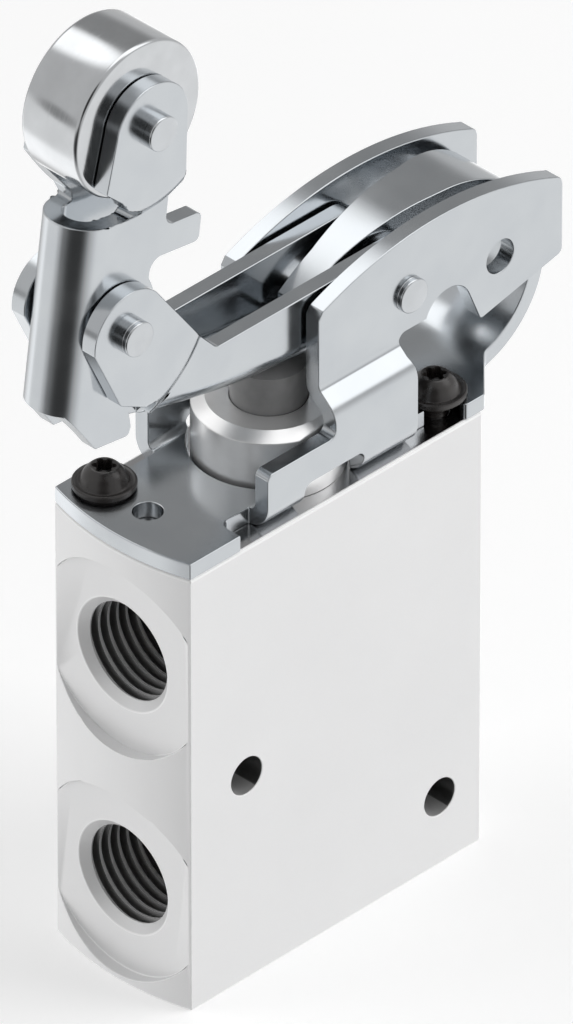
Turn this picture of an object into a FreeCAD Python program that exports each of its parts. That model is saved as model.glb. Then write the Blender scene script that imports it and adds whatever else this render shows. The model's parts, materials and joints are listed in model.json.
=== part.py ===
"""Roller lever air valve: a 3/2-way valve block worked by a lever with an idle-return toggle roller.

Millimetres, +Z up. The origin is the centre of the block's bottom face, -X is the face with two
ports, and the plunger runs down the Z axis. Each sub-part is written to parts/NAME.step.
"""
import FreeCAD
import Part

import math
import os

# Block
BLOCK_WIDTH = 20.0
BLOCK_LENGTH = 42.8
BLOCK_HEIGHT = 55.45
END_BULGE = 1.55
EDGE_BREAK = 0.25
FIXING_HOLE_RADIUS = 2.25
FIXING_HOLES = ((-13.2, 26.3), (15.4, 8.8))

# Ports: pipe thread G 1/4 cut as rings of its true pitch and depth
THREAD_PITCH = 1.337
THREAD_CREST_RADIUS = 5.72
THREAD_DEPTH = 0.856
THREAD_TURNS = 8
PORT_MOUTH_RADIUS = 6.65
PORT_SEAT_RADIUS = 11.5
PORT_SEAT_SINK = 0.1
PORT_TOP_DEPTH = 14.45
PORT_LOWER_Z = 12.3
PASSAGE_RADIUS = 2.5

# Bore of the block and what is stacked in it
BORE_RADIUS = 6.0
RUNNING_FIT = 0.05
SPOOL_RADIUS = 3.0
SPOOL_NECK_RADIUS = 1.8
SPOOL_BEVEL = 0.6
SPOOL_END_ROOM = 1.0
SEAL_OUTER_STEP = 6.0
SEAL_BOTTOM_STEP = 5.0
SEAL_OVERLAP = 0.6
STROKE = 2.8
CAGE_WALL = 1.6
CAGE_LIP = 1.0
WINDOW_RADIUS = 1.5
PLUG_RADIUS = 6.9
PLUG_DEPTH = 3.2
PLUG_SOCKET_OFFSET = 4.65
PLUG_SOCKET_RADIUS = 0.8
PLUG_SOCKET_DEPTH = 1.8
SPRING_WIRE = 0.5
SPRING_MEAN_RADIUS = 1.75
SPRING_TURNS = 8
SPRING_ROOF = 3.3

# Guide bushing and plunger
COLLAR_RADIUS = 8.2
COLLAR_HEIGHT = 8.1
COLLAR_BEVEL = 1.5
BUSHING_SPIGOT_RADIUS = 6.55
COLLAR_SEAL_WIRE = 0.4
PLUNGER_RADIUS = 4.1
PLUNGER_LENGTH = 16.5
PLUNGER_CROWN = 8.0
WIPER_HEIGHT = 1.5
WIPER_DEPTH = 1.0
WIPER_LIP = 0.4

# Sheet metal of the bracket, the lever and the toggle arm
SHEET = 2.0
INNER_BEND = 1.0
LEVER_HALF_WIDTH = 4.9
LEVER_SIDE_GAP = 0.35
ROLLER_WIDTH = 8.1
ROLLER_SIDE_GAP = 0.12
WALL_INSET = 0.2

# Bracket
WALL_FRONT = -9.9
WALL_REAR = 12.25
WALL_LOW_RISE = 7.3
JOGGLE_LOW_RISE = 9.4
JOGGLE_HIGH_RISE = 11.6
CHEEK_FRONT = 0.1
CHEEK_REAR = 36.1
CHEEK_CREST_RISE = 25.2
CHEEK_END_RISE = 21.6
CHEEK_TAIL_RISE = 11.7
CHEEK_CREST_X = 17.5
TOOTH_TIP = (24.0, 9.1)
NOTCH_REAR = (22.2, 13.4)
NOTCH_CREST = (19.3, 15.35)
NOTCH_FRONT = (16.0, 13.05)
SPARE_HOLE = (26.85, 15.65)
SPARE_HOLE_RADIUS = 1.97
VENT_HOLE_X = -17.7
VENT_HOLE_RADIUS = 1.6
COLLAR_HOLE_GAP = 0.45
COLLAR_WALL_GAP = 0.2
FRONT_RELIEF_LENGTH = 4.1
FRONT_RELIEF_DEPTH = 3.0
REAR_RELIEF_LENGTH = 6.75
REAR_RELIEF_DEPTH = 2.4
PLATE_OVERHANG = 0.4
BEND_WINDOW_HALF_LENGTH = 4.3
BEND_WINDOW_RISE = 3.35
CUT_CORNER = 0.9
TONGUE_HALF_WIDTH = 4.9
TONGUE_CORNER = 1.5
STRAP_REAR = 35.85
STRAP_LOW_RADIUS = 11.45
STRAP_HIGH_RADIUS = 12.8
STRAP_NOSE_RADIUS = 28.0
STRAP_FLAT = 3.0
STRAP_TAPER = ((5.2, 0.9), (9.9, 1.3))
STRAP_SLIM_X = 14.5
STRAP_SIDE_GAP = 0.4
STRAP_TIP_X = 3.0
STRAP_TIP_LENGTH = 5.0
STRAP_TIP_HALF_WIDTH = 1.8

# Bracket screws
SCREW_SPOTS = ((-17.9, 6.2), (18.0, -6.4))
SCREW_FLANGE_RADIUS = 3.45
SCREW_FLANGE_THICKNESS = 0.9
SCREW_HEAD_RADIUS = 2.7
SCREW_HEAD_HEIGHT = 2.8
SCREW_SHANK_RADIUS = 1.45
SCREW_REACH = 6.5
SCREW_PLATE_HOLE_RADIUS = 2.9
SCREW_HOLE_RUN_OUT = 1.0
SOCKET_RADIUS = 0.95
SOCKET_LOBE_RADIUS = 0.36
SOCKET_DEPTH = 1.4

# Pins
PIN_CHAMFER = 0.2
PIN_RING_INSET = 0.75
PIN_RING_WIDTH = 0.2
PIN_RING_DEPTH = 0.12

# Lever
PIVOT_X = 13.5
PIVOT_RISE = 17.55
PIVOT_PIN_RADIUS = 2.0
PIN_STAND_OUT = 0.7
UNDERSIDE_RADIUS = 115.6
UNDERSIDE_LOW_X = 10.3
UNDERSIDE_LOW_RISE = 13.35
LEVER_TOP_RISE = 22.5
LEVER_TOP_FRONT = -12.4
LEVER_HEEL_RADIUS = 3.0
LEVER_REAR_TOP_RADIUS = 4.0
LEVER_FLOOR_FRONT = -23.9
LEVER_FLOOR_REAR = 8.0
LEVER_WALL_FRONT = -22.2
EAR_RADIUS = 5.15
EAR_TOE = (-1.4, -8.4)
EAR_FOOT = (2.2, -10.3)
EAR_CORNER = (9.75, -4.7)
LEVER_EAR_FLAT = 11.2
LEVER_JOG_RUN = 1.25

# Toggle arm, its pin and the roller
TOGGLE_X = -26.15
TOGGLE_RISE = 31.6
TOGGLE_PIN_RADIUS = 2.0
TOGGLE_PIN_STAND_OUT = 1.4
ARM_TILT = 7.8
ARM_REACH = 24.4
ARM_TUBE_AXIS = -2.58
ARM_TUBE_TOP = 12.6
ARM_TUBE_FOOT = -9.7
ARM_FOOT_FRONT = -5.25
ARM_EAR_FLAT = 9.55
ARM_JOG_RUN = 1.75
ARM_NECK_REAR = 5.95
ARM_NECK_FRONT = 0.25
ARM_SLOT_HEIGHT = 1.7
ARM_SLOT_KINKS = ((-2.05, 15.1), (-3.35, 16.55))
ARM_FAR_NECK_FRONT = -2.0
ARM_FAR_SLOT_HEIGHT = 1.1
ARM_SLOT_ROUND = 0.44
ARM_SHOULDER_RISE = 18.3
ARM_LUG_REACH = 11.3
ARM_LUG_TOP = 9.85
ARM_LUG_FOOT = 6.35
ARM_LUG_CORNER = 0.8
ARM_WAIST = ((4.3, 4.2), (5.8, -0.5), (4.6, -5.0), (3.4, -11.3))
ARM_TOE_REAR = 4.0
ARM_TOE_FRONT = -1.1
ARM_TOE_DEPTH = 14.35
ARM_TOE_CORNER = 0.6
ROLLER_RADIUS = 8.98
ROLLER_CHAMFER = 0.3
ROLLER_PIN_RADIUS = 2.0
ROLLER_PIN_STAND_OUT = 1.67
BUSH_WALL = 0.8
TORSION_WIRE = 0.6
TORSION_MEAN_RADIUS = 3.3
TORSION_TURNS = 4
TORSION_LEG = 9.0
TORSION_SIDE_GAP = 0.35

# Worked-out places
DECK = BLOCK_HEIGHT
PORT_UPPER_Z = BLOCK_HEIGHT - PORT_TOP_DEPTH
PORT_REAR_Z = (PORT_UPPER_Z + PORT_LOWER_Z) / 2
PLATE_TOP = DECK + SHEET
PIVOT = (PIVOT_X, DECK + PIVOT_RISE)
TOGGLE = (TOGGLE_X, DECK + TOGGLE_RISE)
CORNER_X = BLOCK_LENGTH / 2
HALF_WIDTH = BLOCK_WIDTH / 2
PORT_SEAT_X = CORNER_X + PORT_SEAT_SINK
CHEEK_INNER = LEVER_HALF_WIDTH + LEVER_SIDE_GAP
CHEEK_OUTER = CHEEK_INNER + SHEET
ARM_HALF_WIDTH = ROLLER_WIDTH / 2
EAR_INNER = ARM_HALF_WIDTH + ROLLER_SIDE_GAP
EAR_OUTER = EAR_INNER + SHEET
SEAL_RADIUS = (BORE_RADIUS - SPOOL_RADIUS) / 2 - RUNNING_FIT
SEAL_TOP_Z = PORT_UPPER_Z + SEAL_OUTER_STEP
SEAL_EXHAUST_Z = (PORT_UPPER_Z + PORT_REAR_Z) / 2
SEAL_SUPPLY_Z = (PORT_REAR_Z + PORT_LOWER_Z) / 2
SEAL_BOTTOM_Z = PORT_LOWER_Z - SEAL_BOTTOM_STEP
SEAL_HALF_GAP = SEAL_RADIUS + RUNNING_FIT
BUSHING_FOOT_Z = SEAL_TOP_Z + SEAL_HALF_GAP
GLAND_RADIUS = BUSHING_SPIGOT_RADIUS + 2 * COLLAR_SEAL_WIRE + 3 * RUNNING_FIT
GLAND_DEPTH = 2 * COLLAR_SEAL_WIRE + RUNNING_FIT
BEND_START = HALF_WIDTH - WALL_INSET - SHEET - INNER_BEND
PLATE_CORNER_X = CORNER_X + PLATE_OVERHANG
CURL_START = STRAP_REAR - STRAP_LOW_RADIUS
CURL_HALF_WIDTH = HALF_WIDTH + PLATE_CORNER_X - CURL_START


def vector(a, b, plane, level=0.0):
    """Point (a, b) of a plane named XZ, XY or YZ, at a level along the plane's normal."""
    if plane == "XZ":
        return FreeCAD.Vector(a, level, b)
    if plane == "XY":
        return FreeCAD.Vector(a, b, level)
    return FreeCAD.Vector(level, a, b)


def normal(plane, length):
    """Vector of a length along the normal of a plane."""
    return vector(0, 0, plane, length)


def corner_ends(before, corner, after, radius):
    """Where a rounded corner starts, passes its middle and ends."""
    arrive = (before[0] - corner[0], before[1] - corner[1])
    leave = (after[0] - corner[0], after[1] - corner[1])
    arrive_length = math.hypot(*arrive)
    leave_length = math.hypot(*leave)
    arrive = (arrive[0] / arrive_length, arrive[1] / arrive_length)
    leave = (leave[0] / leave_length, leave[1] / leave_length)
    half = math.acos(max(-1.0, min(1.0, arrive[0] * leave[0] + arrive[1] * leave[1]))) / 2
    reach = radius / math.tan(half)
    middle = (arrive[0] + leave[0], arrive[1] + leave[1])
    middle_length = math.hypot(*middle)
    depth = (radius / math.sin(half) - radius) / middle_length
    return (
        (corner[0] + arrive[0] * reach, corner[1] + arrive[1] * reach),
        (corner[0] + middle[0] * depth, corner[1] + middle[1] * depth),
        (corner[0] + leave[0] * reach, corner[1] + leave[1] * reach),
    )


def outline(stops, plane, level=0.0):
    """Closed wire through stops. A stop is (a, b), (a, b, corner radius), or
    ("via", a, b) for a point that the arc to the next stop passes."""
    corners = []
    for stop in stops:
        if stop[0] == "via":
            corners[-1]["via"] = (stop[1], stop[2])
        else:
            corners.append({"at": (stop[0], stop[1]), "radius": stop[2] if len(stop) > 2 else 0, "via": None})
    count = len(corners)
    for i, corner in enumerate(corners):
        corner["ends"] = (corner["at"], None, corner["at"])
        if corner["radius"] > 0:
            before = corners[i - 1]["at"]
            after = corners[(i + 1) % count]["at"]
            corner["ends"] = corner_ends(before, corner["at"], after, corner["radius"])
    edges = []
    for i, corner in enumerate(corners):
        first, middle, last = corner["ends"]
        if middle:
            spots = [vector(*spot, plane, level) for spot in (first, middle, last)]
            edges.append(Part.Arc(*spots).toShape())
        start = vector(*last, plane, level)
        end = vector(*corners[(i + 1) % count]["ends"][0], plane, level)
        if corner["via"]:
            edges.append(Part.Arc(start, vector(*corner["via"], plane, level), end).toShape())
        elif start.distanceToPoint(end) > 1e-6:
            edges.append(Part.LineSegment(start, end).toShape())
    return Part.Wire(edges)


def plate(stops, plane, low, high):
    """Outline extruded along the normal of its plane, from low to high."""
    return Part.Face(outline(stops, plane, low)).extrude(normal(plane, high - low))


def box(x0, x1, y0, y1, z0, z1):
    """Block between two corners."""
    return Part.makeBox(x1 - x0, y1 - y0, z1 - z0, FreeCAD.Vector(x0, y0, z0))


def rod(radius, start, end):
    """Round bar between two points."""
    run = FreeCAD.Vector(*end) - FreeCAD.Vector(*start)
    return Part.makeCylinder(radius, run.Length, FreeCAD.Vector(*start), run)


def turned(profile, centre=(0, 0)):
    """Solid turned about a vertical axis from (radius, z) points."""
    points = [FreeCAD.Vector(centre[0] + r, centre[1], z) for r, z in profile]
    face = Part.Face(Part.makePolygon(points + points[:1]))
    return face.revolve(FreeCAD.Vector(*centre, 0), FreeCAD.Vector(0, 0, 1), 360)


def fused(*shapes):
    """One solid from touching shapes, with the seams between flat faces removed."""
    return shapes[0].fuse(list(shapes[1:])).removeSplitter()


def side_offset(route, distance):
    """Route moved to its left by a distance, with mitred corners."""
    directions = []
    for start, end in zip(route, route[1:]):
        length = math.hypot(end[0] - start[0], end[1] - start[1])
        directions.append(((end[0] - start[0]) / length, (end[1] - start[1]) / length))
    moved = []
    for i, spot in enumerate(route):
        before = directions[max(i - 1, 0)]
        after = directions[min(i, len(directions) - 1)]
        share = 1 + before[0] * after[0] + before[1] * after[1]
        moved.append((
            spot[0] - (before[1] + after[1]) * distance / share,
            spot[1] + (before[0] + after[0]) * distance / share,
        ))
    return moved


def turns_left(before, corner, after):
    """Whether a route turns left at a corner."""
    return (corner[0] - before[0]) * (after[1] - corner[1]) > (corner[1] - before[1]) * (after[0] - corner[0])


def bent_strip(route, inner_bend, plane, low, high):
    """Sheet that follows a route of its middle line with round bends, extruded from low to high."""
    half = SHEET / 2
    left = side_offset(route, half)
    right = side_offset(route, -half)
    left_stops = [left[0]]
    right_stops = [right[0]]
    for i in range(1, len(route) - 1):
        inside = turns_left(*route[i - 1:i + 2])
        left_stops.append((*left[i], inner_bend if inside else inner_bend + SHEET))
        right_stops.append((*right[i], inner_bend + SHEET if inside else inner_bend))
    left_stops.append(left[-1])
    right_stops.append(right[-1])
    return plate(left_stops + right_stops[::-1], plane, low, high)


def mirrored(shape):
    """Copy on the other side of the plane y = 0."""
    return shape.mirror(FreeCAD.Vector(0, 0, 0), FreeCAD.Vector(0, 1, 0))


def port_tool():
    """Cutter of one port, from its seat at x = 0 towards +X: bevel, thread rings and passage."""
    crest = THREAD_CREST_RADIUS
    bevel = PORT_MOUTH_RADIUS - crest
    points = [(-END_BULGE, 0), (-END_BULGE, PORT_SEAT_RADIUS), (0, PORT_SEAT_RADIUS), (0, PORT_MOUTH_RADIUS)]
    points.append((bevel, crest))
    flat = THREAD_PITCH / 8
    for turn in range(THREAD_TURNS):
        start = bevel + (turn + 0.5) * THREAD_PITCH
        points.append((start - THREAD_PITCH / 2 + flat, crest))
        points.append((start - flat / 2, crest + THREAD_DEPTH))
        points.append((start + flat / 2, crest + THREAD_DEPTH))
        points.append((start + THREAD_PITCH / 2 - flat, crest))
    foot = bevel + (THREAD_TURNS + 0.5) * THREAD_PITCH
    cone = (crest - PASSAGE_RADIUS) * math.tan(math.radians(30))
    points.append((foot, crest))
    points.append((foot + cone, PASSAGE_RADIUS))
    points.append((PORT_SEAT_X, PASSAGE_RADIUS))
    points.append((PORT_SEAT_X, 0))
    corners = [FreeCAD.Vector(x, 0, r) for x, r in points]
    face = Part.Face(Part.makePolygon(corners + corners[:1]))
    return face.revolve(FreeCAD.Vector(0, 0, 0), FreeCAD.Vector(1, 0, 0), 360)


def block_outline(grow=0.0):
    """Plan of the block: flat sides and bulged ends."""
    x = CORNER_X - grow
    y = HALF_WIDTH - grow
    bulge = END_BULGE
    return [(-x, -y), (x, -y), ("via", x + bulge, 0), (x, y), (-x, y), ("via", -x - bulge, 0)]


def valve_body():
    """Block with its bore, three ports, two fixing holes and tapped holes for the bracket."""
    block = plate(block_outline(), "XY", 0, BLOCK_HEIGHT)
    block = block.makeChamfer(EDGE_BREAK, [e for e in block.Edges if on_end(e)])
    end_room = SPOOL_RADIUS + SPOOL_END_ROOM
    shelf = SEAL_BOTTOM_Z - SEAL_HALF_GAP
    spigot = BUSHING_SPIGOT_RADIUS + RUNNING_FIT
    gland_foot = BLOCK_HEIGHT - GLAND_DEPTH
    bore = turned([
        (0, PLUG_DEPTH), (end_room, PLUG_DEPTH), (end_room, shelf), (BORE_RADIUS, shelf),
        (BORE_RADIUS, BUSHING_FOOT_Z), (spigot, BUSHING_FOOT_Z), (spigot, gland_foot),
        (GLAND_RADIUS, gland_foot), (GLAND_RADIUS, BLOCK_HEIGHT), (0, BLOCK_HEIGHT),
    ])
    cuts = [bore, Part.makeCylinder(PLUG_RADIUS + RUNNING_FIT, PLUG_DEPTH)]
    for z in (PORT_UPPER_Z, PORT_LOWER_Z):
        tool = port_tool()
        tool.translate(FreeCAD.Vector(-PORT_SEAT_X, 0, z))
        cuts.append(tool)
    rear = port_tool()
    rear.rotate(FreeCAD.Vector(0, 0, 0), FreeCAD.Vector(0, 0, 1), 180)
    rear.translate(FreeCAD.Vector(PORT_SEAT_X, 0, PORT_REAR_Z))
    cuts.append(rear)
    for x, z in FIXING_HOLES:
        cuts.append(rod(FIXING_HOLE_RADIUS, (x, -HALF_WIDTH, z), (x, HALF_WIDTH, z)))
    for x, y in SCREW_SPOTS:
        tip = PLATE_TOP - SCREW_REACH - SCREW_HOLE_RUN_OUT
        cuts.append(rod(SCREW_SHANK_RADIUS + RUNNING_FIT, (x, y, tip), (x, y, DECK)))
    return block.cut(cuts)


def on_end(edge):
    """Whether an edge of the block lies in its top or bottom face."""
    return edge.BoundBox.ZLength < 1e-6


def bushing_seal():
    """O-ring in the gland at the mouth of the bore, under the collar."""
    radius = BUSHING_SPIGOT_RADIUS + COLLAR_SEAL_WIRE + 2 * RUNNING_FIT
    return Part.makeTorus(radius, COLLAR_SEAL_WIRE, FreeCAD.Vector(0, 0, BLOCK_HEIGHT - GLAND_DEPTH / 2))


def guide_bushing():
    """Collar on the block's top with a spigot, a wiper groove, and flats that clear the bracket's walls."""
    bore = PLUNGER_RADIUS + RUNNING_FIT
    top = DECK + COLLAR_HEIGHT
    groove_top = top - COLLAR_BEVEL
    groove_foot = groove_top - WIPER_HEIGHT
    collar = turned([
        (bore, BUSHING_FOOT_Z), (BUSHING_SPIGOT_RADIUS, BUSHING_FOOT_Z), (BUSHING_SPIGOT_RADIUS, DECK),
        (COLLAR_RADIUS, DECK), (COLLAR_RADIUS, top - COLLAR_BEVEL / 2), (COLLAR_RADIUS - COLLAR_BEVEL, top),
        (bore, top), (bore, groove_top), (bore + WIPER_DEPTH, groove_top),
        (bore + WIPER_DEPTH, groove_foot), (bore, groove_foot),
    ])
    wide = COLLAR_RADIUS
    flat = HALF_WIDTH - WALL_INSET - SHEET - COLLAR_WALL_GAP
    side = box(-wide, wide, flat, HALF_WIDTH, DECK + BEND_WINDOW_RISE - COLLAR_WALL_GAP, top)
    return collar.cut([side, mirrored(side)])


def stem_wiper():
    """Ring with a lip that wipes the plunger, in the groove of the bushing."""
    inner = PLUNGER_RADIUS + RUNNING_FIT
    outer = inner + WIPER_DEPTH - RUNNING_FIT
    top = DECK + COLLAR_HEIGHT - COLLAR_BEVEL - RUNNING_FIT
    foot = top - WIPER_HEIGHT + 2 * RUNNING_FIT
    return turned([
        (inner, top), (outer, top), (outer, foot), (inner + WIPER_DEPTH / 2, foot),
        (inner + WIPER_DEPTH / 4, top - 1.5 * WIPER_LIP), (inner, top - WIPER_LIP),
    ])


def cage(foot, head, port_z):
    """Spacer ring between two seals, with a chamber and six windows at its port."""
    chamber = BORE_RADIUS - CAGE_WALL
    guide = SPOOL_RADIUS + 2 * RUNNING_FIT
    outer = BORE_RADIUS - RUNNING_FIT
    lip = CAGE_LIP
    ring = turned([
        (guide, foot), (outer, foot), (outer, head), (guide, head), (guide, head - lip),
        (chamber, head - lip), (chamber, foot + lip), (guide, foot + lip),
    ])
    windows = []
    for number in range(3):
        angle = math.radians(60 * number)
        reach = (BORE_RADIUS * math.cos(angle), BORE_RADIUS * math.sin(angle))
        windows.append(rod(WINDOW_RADIUS, (-reach[0], -reach[1], port_z), (reach[0], reach[1], port_z)))
    return ring.cut(windows)


def spool_seals():
    """Four O-rings that the spool slides through."""
    rings = []
    for z in (SEAL_TOP_Z, SEAL_EXHAUST_Z, SEAL_SUPPLY_Z, SEAL_BOTTOM_Z):
        radius = (BORE_RADIUS + SPOOL_RADIUS) / 2
        rings.append(Part.makeTorus(radius, SEAL_RADIUS, FreeCAD.Vector(0, 0, z)))
    return Part.Compound(rings)


def bottom_plug():
    """Screwed plug with two blind holes for a pin spanner."""
    plug = Part.makeCylinder(PLUG_RADIUS, PLUG_DEPTH)
    spots = [FreeCAD.Vector(x, 0, 0) for x in (-PLUG_SOCKET_OFFSET, PLUG_SOCKET_OFFSET)]
    return plug.cut([Part.makeCylinder(PLUG_SOCKET_RADIUS, PLUG_SOCKET_DEPTH, spot) for spot in spots])


def underside(x):
    """Height of the lever's underside at x."""
    low = DECK + UNDERSIDE_LOW_RISE
    return low + UNDERSIDE_RADIUS - math.sqrt(UNDERSIDE_RADIUS ** 2 - (x - UNDERSIDE_LOW_X) ** 2)


def plunger_top():
    """Height of the plunger's crown, a running fit below the sloping underside of the lever."""
    slope = underside(0.5) - underside(-0.5)
    return underside(0) - PLUNGER_CROWN * slope ** 2 / 2 - RUNNING_FIT


def plunger():
    """Guided push rod with a crowned top."""
    top = plunger_top()
    foot = top - PLUNGER_LENGTH
    rim = top - PLUNGER_CROWN + math.sqrt(PLUNGER_CROWN ** 2 - PLUNGER_RADIUS ** 2)
    bar = Part.makeCylinder(PLUNGER_RADIUS, top - foot, FreeCAD.Vector(0, 0, foot))
    crown = Part.makeSphere(PLUNGER_CROWN, FreeCAD.Vector(0, 0, top - PLUNGER_CROWN))
    below = Part.makeCylinder(2 * PLUNGER_RADIUS, rim - foot, FreeCAD.Vector(0, 0, foot))
    return bar.common(crown.fuse(below))


def valve_spool():
    """Spool with two lands and a long neck, bored from below for the return spring."""
    top = plunger_top() - PLUNGER_LENGTH
    neck_top = SEAL_EXHAUST_Z + STROKE - SEAL_OVERLAP
    neck_foot = SEAL_SUPPLY_Z + SEAL_OVERLAP
    return turned([
        (0, top), (SPOOL_RADIUS, top), (SPOOL_RADIUS, neck_top), (SPOOL_NECK_RADIUS, neck_top - SPOOL_BEVEL),
        (SPOOL_NECK_RADIUS, neck_foot + SPOOL_BEVEL), (SPOOL_RADIUS, neck_foot), (SPOOL_RADIUS, spool_foot()),
        (spring_bore(), spool_foot()), (spring_bore(), spring_top()), (0, spring_top()),
    ])


def spool_foot():
    """Lower end of the spool at rest, clear of the plug at full stroke."""
    return PLUG_DEPTH + STROKE + 4 * RUNNING_FIT


def spring_bore():
    """Radius of the bore in the spool that holds the spring."""
    return SPRING_MEAN_RADIUS + SPRING_WIRE / 2 + 2 * RUNNING_FIT


def spring_top():
    """End of the spring's bore, short of the spool's neck."""
    return SEAL_SUPPLY_Z - SPRING_ROOF


def return_spring():
    """Compression spring between the plug and the spool."""
    low = PLUG_DEPTH + SPRING_WIRE / 2 + RUNNING_FIT
    high = spring_top() - SPRING_WIRE / 2 - RUNNING_FIT
    return coil(SPRING_MEAN_RADIUS, SPRING_WIRE, low, high, SPRING_TURNS)


def coil(radius, wire, low, high, turns):
    """Round wire wound about the Z axis."""
    helix = Part.makeHelix((high - low) / turns, high - low, radius)
    helix.translate(FreeCAD.Vector(0, 0, low))
    start = FreeCAD.Vector(radius, 0, low)
    section = Part.Wire([Part.makeCircle(wire / 2, start, FreeCAD.Vector(0, 1, 0))])
    return Part.Wire(helix.Edges).makePipeShell([section], True, True)


def base_plate():
    """Flat part of the bracket: bulged front, bend reliefs, and corners cut back to the tongue."""
    x = CORNER_X
    y = HALF_WIDTH
    front_cut = WALL_FRONT - FRONT_RELIEF_LENGTH
    front_floor = FRONT_RELIEF_DEPTH - y
    rear_end = WALL_REAR + REAR_RELIEF_LENGTH
    rear_floor = REAR_RELIEF_DEPTH - y
    near = [
        (-x, -y), (front_cut, -y), (front_cut, front_floor, CUT_CORNER), (WALL_FRONT, front_floor),
        (WALL_FRONT, -BEND_START), (WALL_REAR, -BEND_START), (WALL_REAR, rear_floor), (rear_end, rear_floor),
        (rear_end, -y, CUT_CORNER / 2), (PLATE_CORNER_X, -y, CUT_CORNER), (CURL_START, -CURL_HALF_WIDTH),
    ]
    far = [(a, -b) + tuple(rest) for a, b, *rest in near[::-1]]
    return plate(near + far + [("via", -x - END_BULGE, 0)], "XY", DECK, PLATE_TOP)


def side_outline():
    """Side view of one wall of the bracket and its cheek."""
    up = DECK
    corner = CUT_CORNER
    sill = up + NOTCH_FRONT[1]
    inset = WALL_REAR - 0.3
    return [
        (WALL_FRONT, up), (WALL_FRONT, up + WALL_LOW_RISE, corner), (CHEEK_FRONT, up + WALL_LOW_RISE, corner),
        (CHEEK_FRONT, up + CHEEK_END_RISE - corner), (CHEEK_FRONT + 0.6, up + CHEEK_END_RISE),
        ("via", CHEEK_CREST_X, up + CHEEK_CREST_RISE), (CHEEK_REAR - 1.0, up + CHEEK_END_RISE),
        ("via", CHEEK_REAR - 0.25, up + CHEEK_END_RISE - 0.5), (CHEEK_REAR, up + CHEEK_END_RISE - 1.4),
        (CHEEK_REAR, up + CHEEK_TAIL_RISE, corner), (TOOTH_TIP[0], up + TOOTH_TIP[1], corner / 2),
        (NOTCH_REAR[0], up + NOTCH_REAR[1]), ("via", NOTCH_CREST[0], up + NOTCH_CREST[1]),
        (NOTCH_FRONT[0], sill), (inset, sill, corner), (inset, up + JOGGLE_HIGH_RISE - 0.6, 0.6),
        (WALL_REAR, up + JOGGLE_LOW_RISE + 0.6), (WALL_REAR, up),
    ]


def side_wall():
    """One side of the bracket on +Y: bend, wall, joggle and cheek, with a flat tail, cut to its outline."""
    wall = HALF_WIDTH - WALL_INSET - SHEET / 2
    cheek = CHEEK_OUTER - SHEET / 2
    route = [
        (BEND_START - 1.0, DECK + SHEET / 2), (wall, DECK + SHEET / 2), (wall, DECK + JOGGLE_LOW_RISE),
        (cheek, DECK + JOGGLE_HIGH_RISE), (cheek, DECK + CHEEK_CREST_RISE + 2),
    ]
    seam = (WALL_REAR + NOTCH_FRONT[0]) / 2
    strip = bent_strip(route, INNER_BEND, "YZ", WALL_FRONT, seam)
    tail = box(seam, CHEEK_REAR, CHEEK_OUTER - SHEET, CHEEK_OUTER, DECK, DECK + CHEEK_CREST_RISE + 2)
    return strip.fuse(tail).removeSplitter().common(plate(side_outline(), "XZ", 0, HALF_WIDTH))


def strap_outline():
    """Side view of the strap that curls up behind the cheeks and back over the lever."""
    rear = STRAP_REAR
    low = STRAP_LOW_RADIUS
    high = STRAP_HIGH_RADIUS
    middle = DECK + low
    top = middle + high
    nose = STRAP_NOSE_RADIUS
    nose_x = rear - high - STRAP_FLAT
    half = math.sqrt(0.5)

    def on_nose(x, radius):
        return (x, top - nose + math.sqrt(radius ** 2 - (x - nose_x) ** 2))

    outer_middle = on_nose((STRAP_TIP_X + nose_x) / 2, nose)
    inner_middle = on_nose((STRAP_TIP_X + nose_x) / 2, nose - SHEET)
    return [
        (rear - low, DECK), ("via", rear - low + low * half, middle - low * half),
        (rear, middle), ("via", rear - high + high * half, middle + high * half),
        (rear - high, top), (nose_x, top), ("via", *outer_middle), on_nose(STRAP_TIP_X, nose),
        on_nose(STRAP_TIP_X, nose - SHEET), ("via", *inner_middle), (nose_x, top - SHEET),
        (rear - high, top - SHEET),
        ("via", rear - high + (high - SHEET) * half, middle + (high - SHEET) * half),
        (rear - SHEET, middle), ("via", rear - low + (low - SHEET) * half, middle - (low - SHEET) * half),
        (rear - low, PLATE_TOP),
    ]


def strap():
    """Curled strap, cut along the plate's cut corners at its root and tapered towards its tip."""
    sheet = plate(strap_outline(), "XZ", -CURL_HALF_WIDTH, CURL_HALF_WIDTH)
    middle = DECK + STRAP_LOW_RADIUS
    wide = TONGUE_HALF_WIDTH
    slim = LEVER_HALF_WIDTH - SHEET - STRAP_SIDE_GAP
    tip = STRAP_TIP_HALF_WIDTH
    side = [(STRAP_REAR, wide)]
    side += [(STRAP_REAR - run, wide - step) for run, step in STRAP_TAPER]
    side += [(STRAP_SLIM_X, slim), (STRAP_TIP_X + STRAP_TIP_LENGTH, tip), (STRAP_TIP_X, tip)]
    taper = side + [(x, -y) for x, y in side[::-1]]
    upper = plate(taper, "XY", middle, middle + STRAP_HIGH_RADIUS)
    root = PLATE_CORNER_X + HALF_WIDTH - wide
    side = [(CURL_START, CURL_HALF_WIDTH), (root, wide, TONGUE_CORNER), (STRAP_REAR, wide)]
    mirror = [(x, -y) + tuple(rest) for x, y, *rest in side[::-1]]
    lower = plate(side + mirror, "XY", DECK, middle)
    return sheet.common(upper.fuse(lower))


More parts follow.
